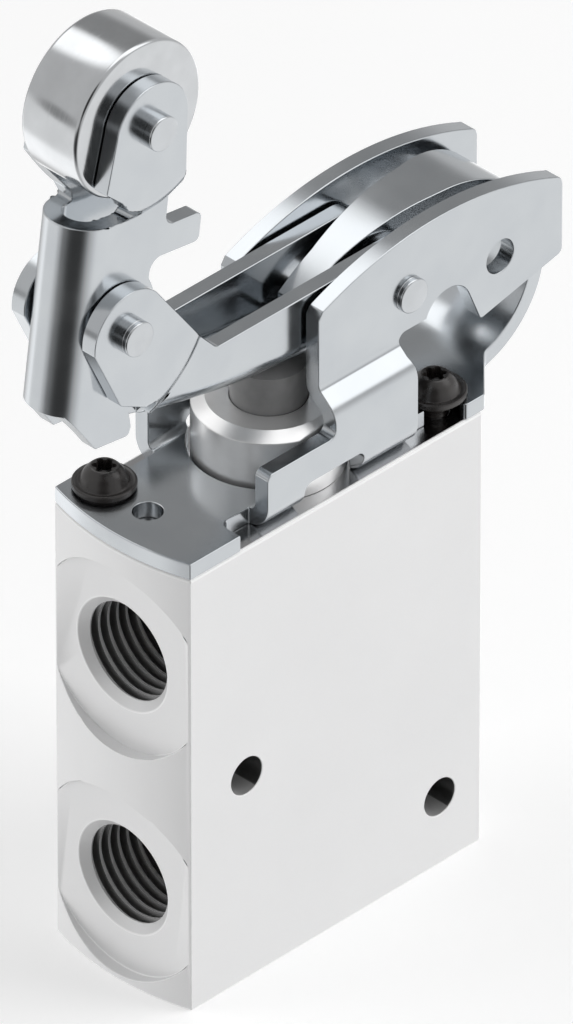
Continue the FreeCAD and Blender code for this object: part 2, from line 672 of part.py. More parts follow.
def mounting_bracket():
    """Bracket: base plate, two walls with joggled cheeks, and the strap, from one sheet."""
    wall = side_wall()
    deck = fused(base_plate(), wall, mirrored(wall), strap())
    hole = COLLAR_RADIUS + COLLAR_HOLE_GAP
    cuts = [Part.makeCylinder(hole, SHEET + INNER_BEND, FreeCAD.Vector(0, 0, DECK))]
    cuts.append(Part.makeCylinder(VENT_HOLE_RADIUS, SHEET, FreeCAD.Vector(VENT_HOLE_X, 0, DECK)))
    for x, y in SCREW_SPOTS:
        cuts.append(rod(SCREW_PLATE_HOLE_RADIUS, (x, y, DECK), (x, y, PLATE_TOP)))
    x = BEND_WINDOW_HALF_LENGTH
    top = DECK + BEND_WINDOW_RISE
    window = [(-x, DECK), (-x, top, CUT_CORNER), (x, top, CUT_CORNER), (x, DECK)]
    cuts.append(plate(window, "XZ", -HALF_WIDTH, HALF_WIDTH))
    cuts.append(cross_hole(PIVOT, PIVOT_PIN_RADIUS + RUNNING_FIT, HALF_WIDTH))
    spare = (SPARE_HOLE[0], DECK + SPARE_HOLE[1])
    cuts.append(cross_hole(spare, SPARE_HOLE_RADIUS, HALF_WIDTH))
    return deck.cut(cuts)


def cross_hole(centre, radius, half_length):
    """Round bar across the valve, along Y, at (x, z)."""
    return rod(radius, (centre[0], -half_length, centre[1]), (centre[0], half_length, centre[1]))


def bracket_screws():
    """Two flanged screws with six-lobed sockets."""
    seat = PLATE_TOP
    brim = seat + SCREW_FLANGE_THICKNESS
    top = seat + SCREW_HEAD_HEIGHT
    rim = SCREW_FLANGE_RADIUS
    head_radius = SCREW_HEAD_RADIUS
    profile = [
        (0, seat), (rim, seat), (rim, brim - 0.35), (rim - 0.4, brim), (head_radius, brim),
        (head_radius - 0.15, top - 1.1), (head_radius - 0.55, top - 0.4), (head_radius - 1.1, top), (0, top),
    ]
    screws = []
    for x, y in SCREW_SPOTS:
        shank = rod(SCREW_SHANK_RADIUS, (x, y, seat - SCREW_REACH), (x, y, seat))
        foot = top - SOCKET_DEPTH
        lobes = [rod(SOCKET_RADIUS, (x, y, foot), (x, y, top))]
        for number in range(6):
            angle = math.radians(60 * number)
            lobe = (x + SOCKET_RADIUS * math.cos(angle), y + SOCKET_RADIUS * math.sin(angle))
            lobes.append(rod(SOCKET_LOBE_RADIUS, (*lobe, foot), (*lobe, top)))
        screws.append(turned(profile, (x, y)).fuse(shank).cut(lobes).removeSplitter())
    return Part.Compound(screws)


def pin(centre, radius, half_length):
    """Pin along Y with broken ends and a shallow ring near each end."""
    bar = cross_hole(centre, radius, half_length)
    bar = bar.makeChamfer(PIN_CHAMFER, [e for e in bar.Edges if e.Closed])
    core = cross_hole(centre, radius - PIN_RING_DEPTH, half_length)
    rings = []
    for middle in (PIN_RING_INSET - half_length, half_length - PIN_RING_INSET):
        low = (centre[0], middle - PIN_RING_WIDTH / 2, centre[1])
        high = (centre[0], middle + PIN_RING_WIDTH / 2, centre[1])
        rings.append(rod(2 * radius, low, high).cut(core))
    return bar.cut(rings)


def jogged_ears(side, centre, wall, flat, run):
    """Two ears about a pin that step in to the walls on a round line, and the disc that they fill."""
    ear = EAR_INNER + SHEET / 2
    bend = (INNER_BEND + SHEET / 2) * math.tan(math.atan2(ear - wall, run) / 2)
    edge = flat + run + bend
    route = [(0, ear), (flat, ear), (flat + run, wall), (edge + bend, wall)]
    strip = bent_strip(route, INNER_BEND, "XY", 0, 1)
    profile = [face for face in strip.Faces if face.BoundBox.ZMax < 1e-6][0]
    dish = profile.revolve(FreeCAD.Vector(0, 0, 0), FreeCAD.Vector(0, 1, 0), 360)
    dish.translate(vector(*centre, "XZ"))
    disc = cross_hole(centre, edge, EAR_OUTER)
    return dish.fuse(mirrored(dish)).common(side).common(disc), disc


def lever_outline():
    """Side view of the lever: ear, wall and rounded rear end."""
    x, z = TOGGLE
    r = EAR_RADIUS
    rear = PIVOT_X + PIVOT_RISE - UNDERSIDE_LOW_RISE
    top = DECK + LEVER_TOP_RISE
    heel = LEVER_HEEL_RADIUS
    front = LEVER_WALL_FRONT
    middle = (front + UNDERSIDE_LOW_X) / 2
    trail = math.radians(184)
    crest = math.radians(112)
    lead = math.radians(42)
    return [
        (x + r * math.cos(lead), z + r * math.sin(lead)),
        ("via", x + r * math.cos(crest), z + r * math.sin(crest)),
        (x + r * math.cos(trail), z + r * math.sin(trail)),
        (x + EAR_TOE[0], z + EAR_TOE[1], 0.8), (x + EAR_FOOT[0], z + EAR_FOOT[1], 0.5),
        (front, z + EAR_FOOT[1]), (front, underside(front)), ("via", middle, underside(middle)),
        (UNDERSIDE_LOW_X, underside(UNDERSIDE_LOW_X)), (rear, underside(UNDERSIDE_LOW_X), heel),
        (rear, top, LEVER_REAR_TOP_RADIUS), (LEVER_TOP_FRONT, top, 1.2),
        (x + EAR_CORNER[0], z + EAR_CORNER[1], 0.4),
    ]


def lever_channel():
    """Channel section of the lever with a curved floor and round bends."""
    half = LEVER_HALF_WIDTH
    inner = half - SHEET
    front = LEVER_FLOOR_FRONT
    rear = PIVOT[0] + EAR_RADIUS
    roof = TOGGLE[1]

    def curved(width, lift, bend):
        """Bar under a roof with the lever's underside curve, raised by a lift."""
        middle = (front + rear) / 2
        shape = plate([
            (front, underside(front) + lift), ("via", middle, underside(middle) + lift),
            (rear, underside(rear) + lift), (rear, roof), (front, roof),
        ], "XZ", -width, width)
        return shape.makeFillet(bend, [e for e in shape.Edges if on_low_side(e, width)])

    channel = curved(half, 0, INNER_BEND + SHEET).cut(curved(inner, SHEET, INNER_BEND))
    return channel.cut(box(LEVER_FLOOR_REAR, rear, -inner, inner, DECK, roof))


def on_low_side(edge, width):
    """Whether an edge is a long lower edge of a bar of a half width."""
    spot = edge.valueAt((edge.FirstParameter + edge.LastParameter) / 2)
    level = edge.BoundBox.YLength < 1e-6 and edge.BoundBox.XLength > SHEET
    return level and abs(abs(spot.y) - width) < 1e-6 and spot.z < TOGGLE[1] - 1


def lever():
    """Channel lever whose two ears are jogged outwards to clear the toggle arm."""
    inner = LEVER_HALF_WIDTH - SHEET
    wall = LEVER_HALF_WIDTH - SHEET / 2
    side = plate(lever_outline(), "XZ", -EAR_OUTER, EAR_OUTER)
    ears, disc = jogged_ears(side, TOGGLE, wall, LEVER_EAR_FLAT, LEVER_JOG_RUN)
    between = box(LEVER_FLOOR_FRONT, LEVER_FLOOR_REAR, -inner, inner, DECK, TOGGLE[1])
    lip_top = underside(LEVER_FLOOR_FRONT) + SHEET
    over_lip = box(LEVER_FLOOR_FRONT, LEVER_WALL_FRONT, -inner, inner, lip_top, TOGGLE[1])
    channel = lever_channel()
    whole = fused(channel.common(side).cut([disc, between]), channel.common(between).cut(over_lip), ears)
    holes = [cross_hole(PIVOT, PIVOT_PIN_RADIUS + RUNNING_FIT, EAR_OUTER),
             cross_hole(TOGGLE, TOGGLE_PIN_RADIUS + RUNNING_FIT, EAR_OUTER)]
    return whole.cut(holes)


def bush(centre, pin_radius, half_length):
    """Plain tube around a pin."""
    outer = cross_hole(centre, pin_radius + RUNNING_FIT + BUSH_WALL, half_length)
    return outer.cut(cross_hole(centre, pin_radius + RUNNING_FIT, half_length))


def on_arm(shape):
    """Shape drawn upright about the toggle pin, tilted and moved to its place."""
    shape.rotate(FreeCAD.Vector(0, 0, 0), FreeCAD.Vector(0, 1, 0), ARM_TILT)
    shape.translate(FreeCAD.Vector(TOGGLE[0], 0, TOGGLE[1]))
    return shape


def roller_centre():
    """Place of the roller's axis in the side view."""
    tilt = math.radians(ARM_TILT)
    return (TOGGLE[0] + ARM_REACH * math.sin(tilt), TOGGLE[1] + ARM_REACH * math.cos(tilt))


def arm_outline(neck, slot_height, kinks):
    """Side view of the toggle arm, upright about the toggle pin: roller ear, slot, wall, hook and toe.

    The slot under the ear ends at the neck. The ear's lower edge runs up from there through the kinks.
    """
    r = EAR_RADIUS
    front = ARM_TUBE_AXIS - ARM_HALF_WIDTH
    top = ARM_TUBE_TOP
    soft = ARM_LUG_CORNER
    toe = -ARM_TOE_DEPTH
    waist_top, waist_crest, waist_low, ankle = ARM_WAIST
    slot_end = ARM_SLOT_ROUND * slot_height
    slot = [(neck, top, slot_end), (neck, top + slot_height, slot_end)] + [(x, z, 0.6) for x, z in kinks]
    return [
        (ARM_NECK_REAR, top), (ARM_NECK_REAR, ARM_LUG_TOP, 1.3), (ARM_LUG_REACH, ARM_LUG_TOP, soft),
        (ARM_LUG_REACH, ARM_LUG_FOOT, soft), (waist_top[0], ARM_LUG_FOOT, 1.5), waist_top,
        ("via", *waist_crest), waist_low, ankle, (ARM_TOE_REAR, toe + 1.05, ARM_TOE_CORNER),
        (ARM_TOE_REAR - 0.3, toe, ARM_TOE_CORNER), (ARM_TOE_FRONT, toe, ARM_TOE_CORNER),
        (ARM_FOOT_FRONT, ARM_TUBE_FOOT), (front, ARM_TUBE_FOOT), (front, top),
        *slot, (-r - 0.7, ARM_SHOULDER_RISE, 0.3),
        (-r, ARM_REACH), ("via", 0, ARM_REACH + r), (r, ARM_REACH), (ARM_NECK_REAR, ARM_SHOULDER_RISE - 1.5),
    ]


def toggle_arm():
    """Folded channel with a round front, hooks at the rear and two ears for the roller."""
    half = ARM_HALF_WIDTH
    inner = half - SHEET
    axis = ARM_TUBE_AXIS
    foot = -20.0
    height = ARM_REACH + EAR_RADIUS - foot + 1
    base = FreeCAD.Vector(axis, 0, foot)
    reach = 20.0
    outside = Part.makeCylinder(half, height, base).fuse(box(axis, reach, -half, half, foot, foot + height))
    inside = Part.makeCylinder(inner, height, base).fuse(box(axis, reach, -inner, inner, foot, foot + height))
    channel = outside.cut(inside)
    near = plate(arm_outline(ARM_NECK_FRONT, ARM_SLOT_HEIGHT, ARM_SLOT_KINKS), "XZ", -EAR_OUTER, 0)
    far = plate(arm_outline(ARM_FAR_NECK_FRONT, ARM_FAR_SLOT_HEIGHT, ()), "XZ", 0, EAR_OUTER)
    side = near.fuse(far)
    ears, disc = jogged_ears(side, (0, ARM_REACH), half - SHEET / 2, ARM_EAR_FLAT, ARM_JOG_RUN)
    arm = fused(channel.common(side).cut(disc), ears)
    holes = [cross_hole((0, 0), TOGGLE_PIN_RADIUS + RUNNING_FIT, EAR_OUTER),
             cross_hole((0, ARM_REACH), ROLLER_PIN_RADIUS + RUNNING_FIT, EAR_OUTER)]
    return on_arm(arm.cut(holes))


def torsion_spring():
    """Return spring of the toggle arm: a coil around its pin and two straight legs."""
    end = ARM_HALF_WIDTH - SHEET - TORSION_WIRE / 2 - TORSION_SIDE_GAP
    winding = coil(TORSION_MEAN_RADIUS, TORSION_WIRE, -end, end, TORSION_TURNS)
    winding.rotate(FreeCAD.Vector(0, 0, 0), FreeCAD.Vector(1, 0, 0), -90)
    x, z = TOGGLE
    winding.translate(FreeCAD.Vector(x, 0, z))
    radius = TORSION_WIRE / 2
    floor = underside(x + TORSION_MEAN_RADIUS) + SHEET + radius + RUNNING_FIT
    lower = rod(radius, (x + TORSION_MEAN_RADIUS, -end, z), (x + TORSION_MEAN_RADIUS, -end, floor))
    tilt = math.radians(ARM_TILT)
    rise = TORSION_LEG
    upper = rod(radius, (x - TORSION_MEAN_RADIUS, end, z),
                (x - TORSION_MEAN_RADIUS + rise * math.sin(tilt), end, z + rise * math.cos(tilt)))
    return winding.fuse([lower, upper])


def roller():
    """Steel roller with chamfered rims, bored for its bush."""
    centre = roller_centre()
    half = ARM_HALF_WIDTH
    wheel = cross_hole(centre, ROLLER_RADIUS, half)
    wheel = wheel.makeChamfer(ROLLER_CHAMFER, [e for e in wheel.Edges if e.Closed])
    return wheel.cut(cross_hole(centre, ROLLER_PIN_RADIUS + 2 * RUNNING_FIT + BUSH_WALL, half))


PIECES = {
    "valve_body": valve_body,
    "mounting_bracket": mounting_bracket,
    "bracket_screws": bracket_screws,
    "guide_bushing": guide_bushing,
    "bushing_seal": bushing_seal,
    "stem_wiper": stem_wiper,
    "upper_cage": lambda: cage(SEAL_EXHAUST_Z + SEAL_HALF_GAP, SEAL_TOP_Z - SEAL_HALF_GAP, PORT_UPPER_Z),
    "middle_cage": lambda: cage(SEAL_SUPPLY_Z + SEAL_HALF_GAP, SEAL_EXHAUST_Z - SEAL_HALF_GAP, PORT_REAR_Z),
    "lower_cage": lambda: cage(SEAL_BOTTOM_Z + SEAL_HALF_GAP, SEAL_SUPPLY_Z - SEAL_HALF_GAP, PORT_LOWER_Z),
    "spool_seals": spool_seals,
    "bottom_plug": bottom_plug,
    "plunger": plunger,
    "valve_spool": valve_spool,
    "return_spring": return_spring,
    "lever_pivot_pin": lambda: pin(PIVOT, PIVOT_PIN_RADIUS, CHEEK_OUTER + PIN_STAND_OUT),
    "lever": lever,
    "lever_bush": lambda: bush(PIVOT, PIVOT_PIN_RADIUS, LEVER_HALF_WIDTH - SHEET - RUNNING_FIT),
    "toggle_pin": lambda: pin(TOGGLE, TOGGLE_PIN_RADIUS, EAR_OUTER + TOGGLE_PIN_STAND_OUT),
    "toggle_arm": toggle_arm,
    "toggle_bush": lambda: bush(TOGGLE, TOGGLE_PIN_RADIUS, ARM_HALF_WIDTH - SHEET - RUNNING_FIT),
    "toggle_spring": torsion_spring,
    "roller_pin": lambda: pin(roller_centre(), ROLLER_PIN_RADIUS, EAR_OUTER + ROLLER_PIN_STAND_OUT),
    "roller_bush": lambda: bush(roller_centre(), ROLLER_PIN_RADIUS, ARM_HALF_WIDTH - RUNNING_FIT),
    "roller": roller,
}


def main():
    """Write every sub-part to its own file."""
    os.makedirs("parts", exist_ok=True)
    for name, build in PIECES.items():
        shape = build()
        print(name, shape.isValid(), len(shape.Solids), round(shape.Volume, 2))
        shape.exportStep(f"parts/{name}.step")


main()
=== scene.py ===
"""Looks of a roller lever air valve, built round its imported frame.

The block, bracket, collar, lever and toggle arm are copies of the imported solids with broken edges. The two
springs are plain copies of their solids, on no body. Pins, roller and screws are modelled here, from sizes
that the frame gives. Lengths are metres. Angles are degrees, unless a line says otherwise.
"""
import json
import logging
import math
from abc import ABC, abstractmethod
from dataclasses import dataclass, field
from enum import Enum, IntEnum
from typing import Callable, Sequence

import bmesh
import bpy
from mathutils import Matrix, Vector


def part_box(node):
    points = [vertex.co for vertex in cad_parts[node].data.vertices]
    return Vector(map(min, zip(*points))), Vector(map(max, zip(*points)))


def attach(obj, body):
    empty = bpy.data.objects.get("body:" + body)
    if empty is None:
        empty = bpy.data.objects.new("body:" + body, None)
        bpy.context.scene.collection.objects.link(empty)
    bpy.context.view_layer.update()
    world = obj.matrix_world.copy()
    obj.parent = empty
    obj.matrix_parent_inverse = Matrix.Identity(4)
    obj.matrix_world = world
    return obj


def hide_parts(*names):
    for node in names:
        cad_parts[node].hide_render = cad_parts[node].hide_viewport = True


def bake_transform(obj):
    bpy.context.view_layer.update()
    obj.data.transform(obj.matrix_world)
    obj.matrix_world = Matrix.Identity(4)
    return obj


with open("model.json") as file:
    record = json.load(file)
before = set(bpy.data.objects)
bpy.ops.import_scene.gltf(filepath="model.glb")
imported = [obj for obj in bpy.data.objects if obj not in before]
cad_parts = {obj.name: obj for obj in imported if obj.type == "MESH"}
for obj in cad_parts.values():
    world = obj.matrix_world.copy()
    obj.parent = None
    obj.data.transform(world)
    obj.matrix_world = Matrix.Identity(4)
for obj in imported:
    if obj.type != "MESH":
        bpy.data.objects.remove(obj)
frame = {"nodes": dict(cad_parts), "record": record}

logging.basicConfig(level=logging.INFO, format="%(message)s")
log = logging.getLogger("valve")

Triple = tuple[float, float, float]
Colour = Triple
Spot = tuple[float, float]
Corner = Triple
Node = bpy.types.Node
Socket = bpy.types.NodeSocket
Material = bpy.types.Material
Corners = list[bmesh.types.BMLoop]
Test = Callable[[Vector], bool]
Value = Socket | Vector | float | tuple[float, ...]

MM = 0.001
WHITE = (1.0, 1.0, 1.0, 1.0)
BUSH_GREY = (0.045, 0.046, 0.048)
SPRING_STEEL = (0.6, 0.61, 0.62)
STEM_AXIS = Vector()

# Sockets of the Mix node by number, because their names repeat for each kind of data
MIX_SHARE = 0
MIX_FIRST_VALUE = 2
MIX_SECOND_VALUE = 3
MIX_VALUE = 0
MIX_FIRST_COLOUR = 6
MIX_SECOND_COLOUR = 7
MIX_COLOUR = 2


class Body(Enum):
    """Bodies of the frame that pieces ride on."""

    VALVE = "valve"
    STEM = "stem"
    LEVER = "lever"
    TOGGLE = "toggle"
    ROLLER = "roller"


class Axis(Enum):
    """Axis that a turned piece or a spring lies along."""

    Y = "Y"
    Z = "Z"


class Surface(IntEnum):
    """Material slots of the block."""

    BLASTED = 0
    TOP = 1
    EDGE = 2
    FLANK = 3
    HOLE = 4


class Nodes:
    """Node tree with short calls for adding and joining nodes."""

    def __init__(self, tree: bpy.types.NodeTree) -> None:
        """Take a node tree."""
        self.tree = tree

    def add(self, kind: str, inputs: dict[str | int, Value] | None = None, **settings: str) -> Node:
        """Add a node.

        Args:
            kind: The node's type.
            inputs: Another node's output or a constant for each input, by name or number.
            settings: The node's options.

        Returns:
            The new node.
        """
        node = self.tree.nodes.new(kind)
        for option, setting in settings.items():
            setattr(node, option, setting)
        for key, value in (inputs or {}).items():
            self.fill(node.inputs[key], value)
        return node

    def fill(self, target: Socket, value: Value) -> None:
        """Give an input another node's output or a constant."""
        if isinstance(value, Socket):
            self.tree.links.new(value, target)
        else:
            target.default_value = value

    def vector(self, operation: str, source: Socket, second: Vector | Triple = (0.0, 0.0, 0.0)) -> Node:
        """Vector math on a source, with a constant as its second term."""
        return self.add("ShaderNodeVectorMath", {0: source, 1: second}, operation=operation)


class Sheet(Nodes):
    """Node tree of one material, with the patterns that the finishes share."""

    noise_low = 0.3
    noise_high = 0.7

    def __init__(self, name: str, colour: Colour, metallic: float, roughness: float) -> None:
        """Start a material with its surface shader.

        Args:
            name: The material's name.
            colour: Base colour, linear.
            metallic: 0 for plastic and paint, 1 for bare metal.
            roughness: Roughness of the bare shader.
        """
        self.material = bpy.data.materials.new(name)
        self.material.use_nodes = True
        super().__init__(self.material.node_tree)
        self.shader = self.tree.nodes["Principled BSDF"]
        self.put("Base Color", (*colour, 1.0))
        self.put("Metallic", metallic)
        self.put("Roughness", roughness)
        self.place = self.add("ShaderNodeTexCoord").outputs["Object"]
        self.relief: Socket | None = None

    def put(self, socket: str, value: Value) -> None:
        """Give one of the shader's inputs another node's output or a constant."""
        self.fill(self.shader.inputs[socket], value)

    def noise_at(self, place: Socket, scale: float, detail: float) -> Socket:
        """Grey noise over some coordinates, in patches per metre and octaves of finer noise."""
        inputs = {"Vector": place, "Scale": scale, "Detail": detail}
        return self.add("ShaderNodeTexNoise", inputs).outputs["Fac"]

    def noise(self, scale: float, detail: float = 2.0, stretch: Triple = (1.0, 1.0, 1.0)) -> Socket:
        """Grey noise in object coordinates.

        Args:
            scale: Patches per metre.
            detail: Octaves of finer noise.
            stretch: Factors on the coordinates, for lines instead of patches.

        Returns:
            The noise's grey output.
        """
        return self.noise_at(self.vector("MULTIPLY", self.place, stretch).outputs[0], scale, detail)

    def rings(self, centre: Vector, axis: Axis, pitch: float) -> Socket:
        """Turning lines: noise that changes only with the distance from the axis and along it."""
        flat = (1.0, 0.0, 1.0) if axis is Axis.Y else (1.0, 1.0, 0.0)
        offset = self.vector("SUBTRACT", self.place, centre)
        radius = self.vector("LENGTH", self.vector("MULTIPLY", offset.outputs[0], flat).outputs[0])
        split = self.add("ShaderNodeSeparateXYZ", {0: self.place})
        inputs = {"X": radius.outputs["Value"], "Y": split.outputs[axis.value]}
        return self.noise_at(self.add("ShaderNodeCombineXYZ", inputs).outputs[0], 1.0 / pitch, 1.0)

    def spread(self, source: Socket, low: float, high: float) -> Socket:
        """Usual span of the noise remapped to a range of values."""
        inputs = {"Value": source, "From Min": self.noise_low, "From Max": self.noise_high}
        inputs |= {"To Min": low, "To Max": high}
        return self.add("ShaderNodeMapRange", inputs).outputs["Result"]

    def blend(self, source: Socket, first: Colour, second: Colour) -> Socket:
        """Colour between two, chosen by noise."""
        inputs = {MIX_FIRST_COLOUR: (*first, 1.0), MIX_SECOND_COLOUR: (*second, 1.0)}
        inputs[MIX_SHARE] = self.spread(source, 0.0, 1.0)
        return self.add("ShaderNodeMix", inputs, data_type="RGBA").outputs[MIX_COLOUR]

    def bump(self, source: Socket, height: float) -> None:
        """Raise the surface by a grey pattern, over the relief that it has already."""
        inputs = {"Strength": 1.0, "Distance": height, "Height": source}
        if self.relief:
            inputs["Normal"] = self.relief
        self.relief = self.add("ShaderNodeBump", inputs).outputs["Normal"]
        self.put("Normal", self.relief)


@dataclass(frozen=True)
class Finish(ABC):
    """What the finishes share: a tone and a roughness that patterns vary.

    Attributes:
        name: Name of the material.
        colour: Its tone, linear.
        roughness: Its usual roughness.
        metallic: 0 for plastic, 1 for bare metal.
        glossier: How much less rough its glossiest spots are.
        matter: How much rougher its dullest spots are.
    """

    name: str
    colour: Colour
    roughness: float
    metallic: float = 1.0
    glossier: float = 0.05
    matter: float = 0.06

    def make(self) -> Material:
        """New material with the finish's constants and patterns."""
        sheet = Sheet(self.name, self.colour, self.metallic, self.roughness)
        self.draw(sheet)
        return sheet.material

    @abstractmethod
    def draw(self, sheet: Sheet) -> None:
        """Add the finish's patterns to its node tree."""

    def vary(self, sheet: Sheet, first: Colour, second: Colour, tone: Socket, gloss: Socket) -> None:
        """Let one pattern choose between two tones, and another set the roughness."""
        low, high = self.roughness - self.glossier, self.roughness + self.matter
        sheet.put("Base Color", sheet.blend(tone, first, second))
        sheet.put("Roughness", sheet.spread(gloss, low, high))


@dataclass(frozen=True)
class BlastedMetal(Finish):
    """Fine matt metal of the block: bead blasted and clear anodised. A darker copy on the cross holes' walls
    is painted shade.
    """

    name: str = "blasted_metal"
    colour: Colour = (0.84, 0.84, 0.842)
    shade: Colour = (0.82, 0.82, 0.823)
    roughness: float = 0.5
    metallic: float = 0.5
    matter: float = 0.07
    grain_pitch: float = 0.16 * MM
    grain_height: float = 0.004 * MM
    clouds_per_metre: float = 70.0

    def draw(self, sheet: Sheet) -> None:
        """Blasted grain and faint clouding."""
        grain = sheet.noise(1.0 / self.grain_pitch, detail=3.0)
        clouds = sheet.noise(self.clouds_per_metre, detail=3.0)
        self.vary(sheet, self.shade, self.colour, clouds, grain)
        sheet.bump(grain, self.grain_height)


@dataclass(frozen=True)
class BoredMetal(Finish):
    """Bare machined metal of the block's top and the threads' flanks, with fine tool marks across X."""

    name: str = "bored_metal"
    colour: Colour = (0.6, 0.6, 0.605)
    shade: Colour = (0.54, 0.54, 0.545)
    roughness: float = 0.17
    glossier: float = 0.02
    matter: float = 0.04
    mark_pitch: float = 0.12 * MM
    mark_height: float = 0.00006 * MM
    mark_stretch: Triple = (1.0, 0.1, 0.1)
    clouds_per_metre: float = 150.0

    def draw(self, sheet: Sheet) -> None:
        """Tool marks and an uneven gloss."""
        marks = sheet.noise(1.0 / self.mark_pitch, stretch=self.mark_stretch)
        self.vary(sheet, self.shade, self.colour, sheet.noise(self.clouds_per_metre), marks)
        sheet.bump(marks, self.mark_height)


@dataclass(frozen=True)
class PaintedEdgeHighlight(Finish):
    """Block's broken edges, with a painted highlight: a brighter colour than the matt metal beside them."""

    name: str = "painted_edge_highlight"
    colour: Colour = (0.95, 0.95, 0.95)
    shade: Colour = (0.92, 0.92, 0.922)
    roughness: float = 0.42
    metallic: float = 0.3
    matter: float = 0.08
    patches_per_metre: float = 600.0

    def draw(self, sheet: Sheet) -> None:
        """Uneven gloss."""
        patches = sheet.noise(self.patches_per_metre, detail=3.0)
        self.vary(sheet, self.shade, self.colour, patches, patches)


@dataclass(frozen=True)
class PlatedSheet(Finish):
    """Bright zinc plate over rolled sheet: rolling lines along X, a slight haze and a faint orange peel."""

    name: str = "plated_sheet"
    colour: Colour = (0.6, 0.625, 0.645)
    shade: Colour = (0.55, 0.575, 0.6)
    roughness: float = 0.17
    glossier: float = 0.03
    line_pitch: float = 0.09 * MM
    line_height: float = 0.0006 * MM
    line_stretch: Triple = (0.02, 1.0, 1.0)
    haze_per_metre: float = 160.0
    peel_per_metre: float = 900.0

    def draw(self, sheet: Sheet) -> None:
        """Rolling lines, haze and orange peel."""
        haze = sheet.noise(self.haze_per_metre, detail=4.0)
        self.vary(sheet, self.shade, self.colour, haze, haze)
        sheet.bump(sheet.noise(self.peel_per_metre), 2.0 * self.line_height)
        sheet.bump(sheet.noise(1.0 / self.line_pitch, stretch=self.line_stretch), self.line_height)


@dataclass(frozen=True)
class TurnedMetal(Finish):
    """Bare metal with turning lines about an axis, which goes through a centre."""

    centre: Vector = STEM_AXIS
    axis: Axis = Axis.Z
    glossier: float = 0.045
    matter: float = 0.045
    line_pitch: float = 0.12 * MM
    line_height: float = 0.0004 * MM
    haze_shade: float = 0.9
    haze_per_metre: float = 260.0

    def draw(self, sheet: Sheet) -> None:
        """Turning lines and a slightly uneven tone."""
        rings = sheet.rings(self.centre, self.axis, self.line_pitch)
        haze = sheet.noise(self.haze_per_metre, detail=3.0)
        self.vary(sheet, tuple(self.haze_shade * part for part in self.colour), self.colour, haze, rings)
        sheet.bump(rings, self.line_height)


@dataclass(frozen=True)
class BlackOxide(Finish):
    """Black finish of the screws, with a trace of oil."""

    name: str = "black_oxide"
    colour: Colour = (0.018, 0.0155, 0.0145)
    worn: Colour = (0.026, 0.0225, 0.021)
    roughness: float = 0.26
    metallic: float = 0.0
    glossier: float = 0.0
    sheen: float = 0.7
    blotches_per_metre: float = 900.0
    grain_per_metre: float = 6000.0
    grain_height: float = 0.0008 * MM

    def draw(self, sheet: Sheet) -> None:
        """Uneven black and a soft sheen."""
        sheet.put("Specular IOR Level", self.sheen)
        blotches = sheet.noise(self.blotches_per_metre, detail=3.0)
        self.vary(sheet, self.colour, self.worn, blotches, blotches)
        sheet.bump(sheet.noise(self.grain_per_metre), self.grain_height)


@dataclass(frozen=True)
class Moulded(Finish):
    """Moulded plastic or rubber."""

    metallic: float = 0.0
    cloud_shade: float = 0.82
    clouds_per_metre: float = 500.0
    pores_per_metre: float = 9000.0
    pore_depth: float = 0.003 * MM

    def draw(self, sheet: Sheet) -> None:
        """Fine pores and slight clouding."""
        clouds = sheet.noise(self.clouds_per_metre, detail=3.0)
        self.vary(sheet, tuple(self.cloud_shade * part for part in self.colour), self.colour, clouds, clouds)
        sheet.bump(sheet.noise(self.pores_per_metre), self.pore_depth)


def made_from(shape: bmesh.types.BMesh, name: str, angle: float = 32.0) -> bpy.types.Mesh:
    """Mesh made from a shape, smooth apart from edges sharper than an angle. The shape is freed."""
    made = bpy.data.meshes.new(name)
    shape.to_mesh(made)
    shape.free()
    made.polygons.foreach_set("use_smooth", [True] * len(made.polygons))
    made.set_sharp_from_angle(angle=math.radians(angle))
    return made


def middle_of(node: str) -> Vector:
    """Centre of a frame node's box."""
    low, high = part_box(node)
    return (low + high) / 2


def at_pins(*nodes: str, margin: float = 0.3 * MM) -> Test:
    """Test for the mouths of pin holes.

    Args:
        nodes: The pins' frame nodes.
        margin: How far from a pin's surface a spot may lie.

    Returns:
        A function that says whether a spot lies close round one of the pins.
    """
    axes = [(middle_of(node), (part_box(node)[1].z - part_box(node)[0].z) / 2 + margin) for node in nodes]
    return lambda spot: any(math.hypot(spot.x - axis.x, spot.z - axis.z) < reach for axis, reach in axes)


def add_piece(
    name: str, node: str, mesh: bpy.types.Mesh, finish: Material, body: Body | None
) -> bpy.types.Object:
    """Put a mesh in the scene as a piece, in place of a frame node.

    Args:
        name: The piece's name.
        node: The frame node that it replaces.
        mesh: Its mesh, in place.
        finish: Its material.
        body: The body that it rides on, or None to leave it on no body.

    Returns:
        The new object.
    """
    mesh.materials.clear()
    mesh.materials.append(finish)
    piece = bpy.data.objects.new(name, mesh)
    bpy.context.scene.collection.objects.link(piece)
    if body is not None:
        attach(piece, body.value)
    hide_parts(node)
    log.info("%s: %d faces on %s", name, len(mesh.polygons), body.value if body else "two bodies")
    return piece


def dress(node: str, finish: Material) -> None:
    """Give a frame node a material in place of its own."""
    mesh = frame["nodes"][node].data
    mesh.materials.clear()
    mesh.materials.append(finish)
    log.info("%s: dressed in %s", node, finish.name)


def dress_bush(node: str) -> None:
    """Give a bush its dark polymer."""
    dress(node, Moulded(node + "_plastic", BUSH_GREY, 0.5).make())


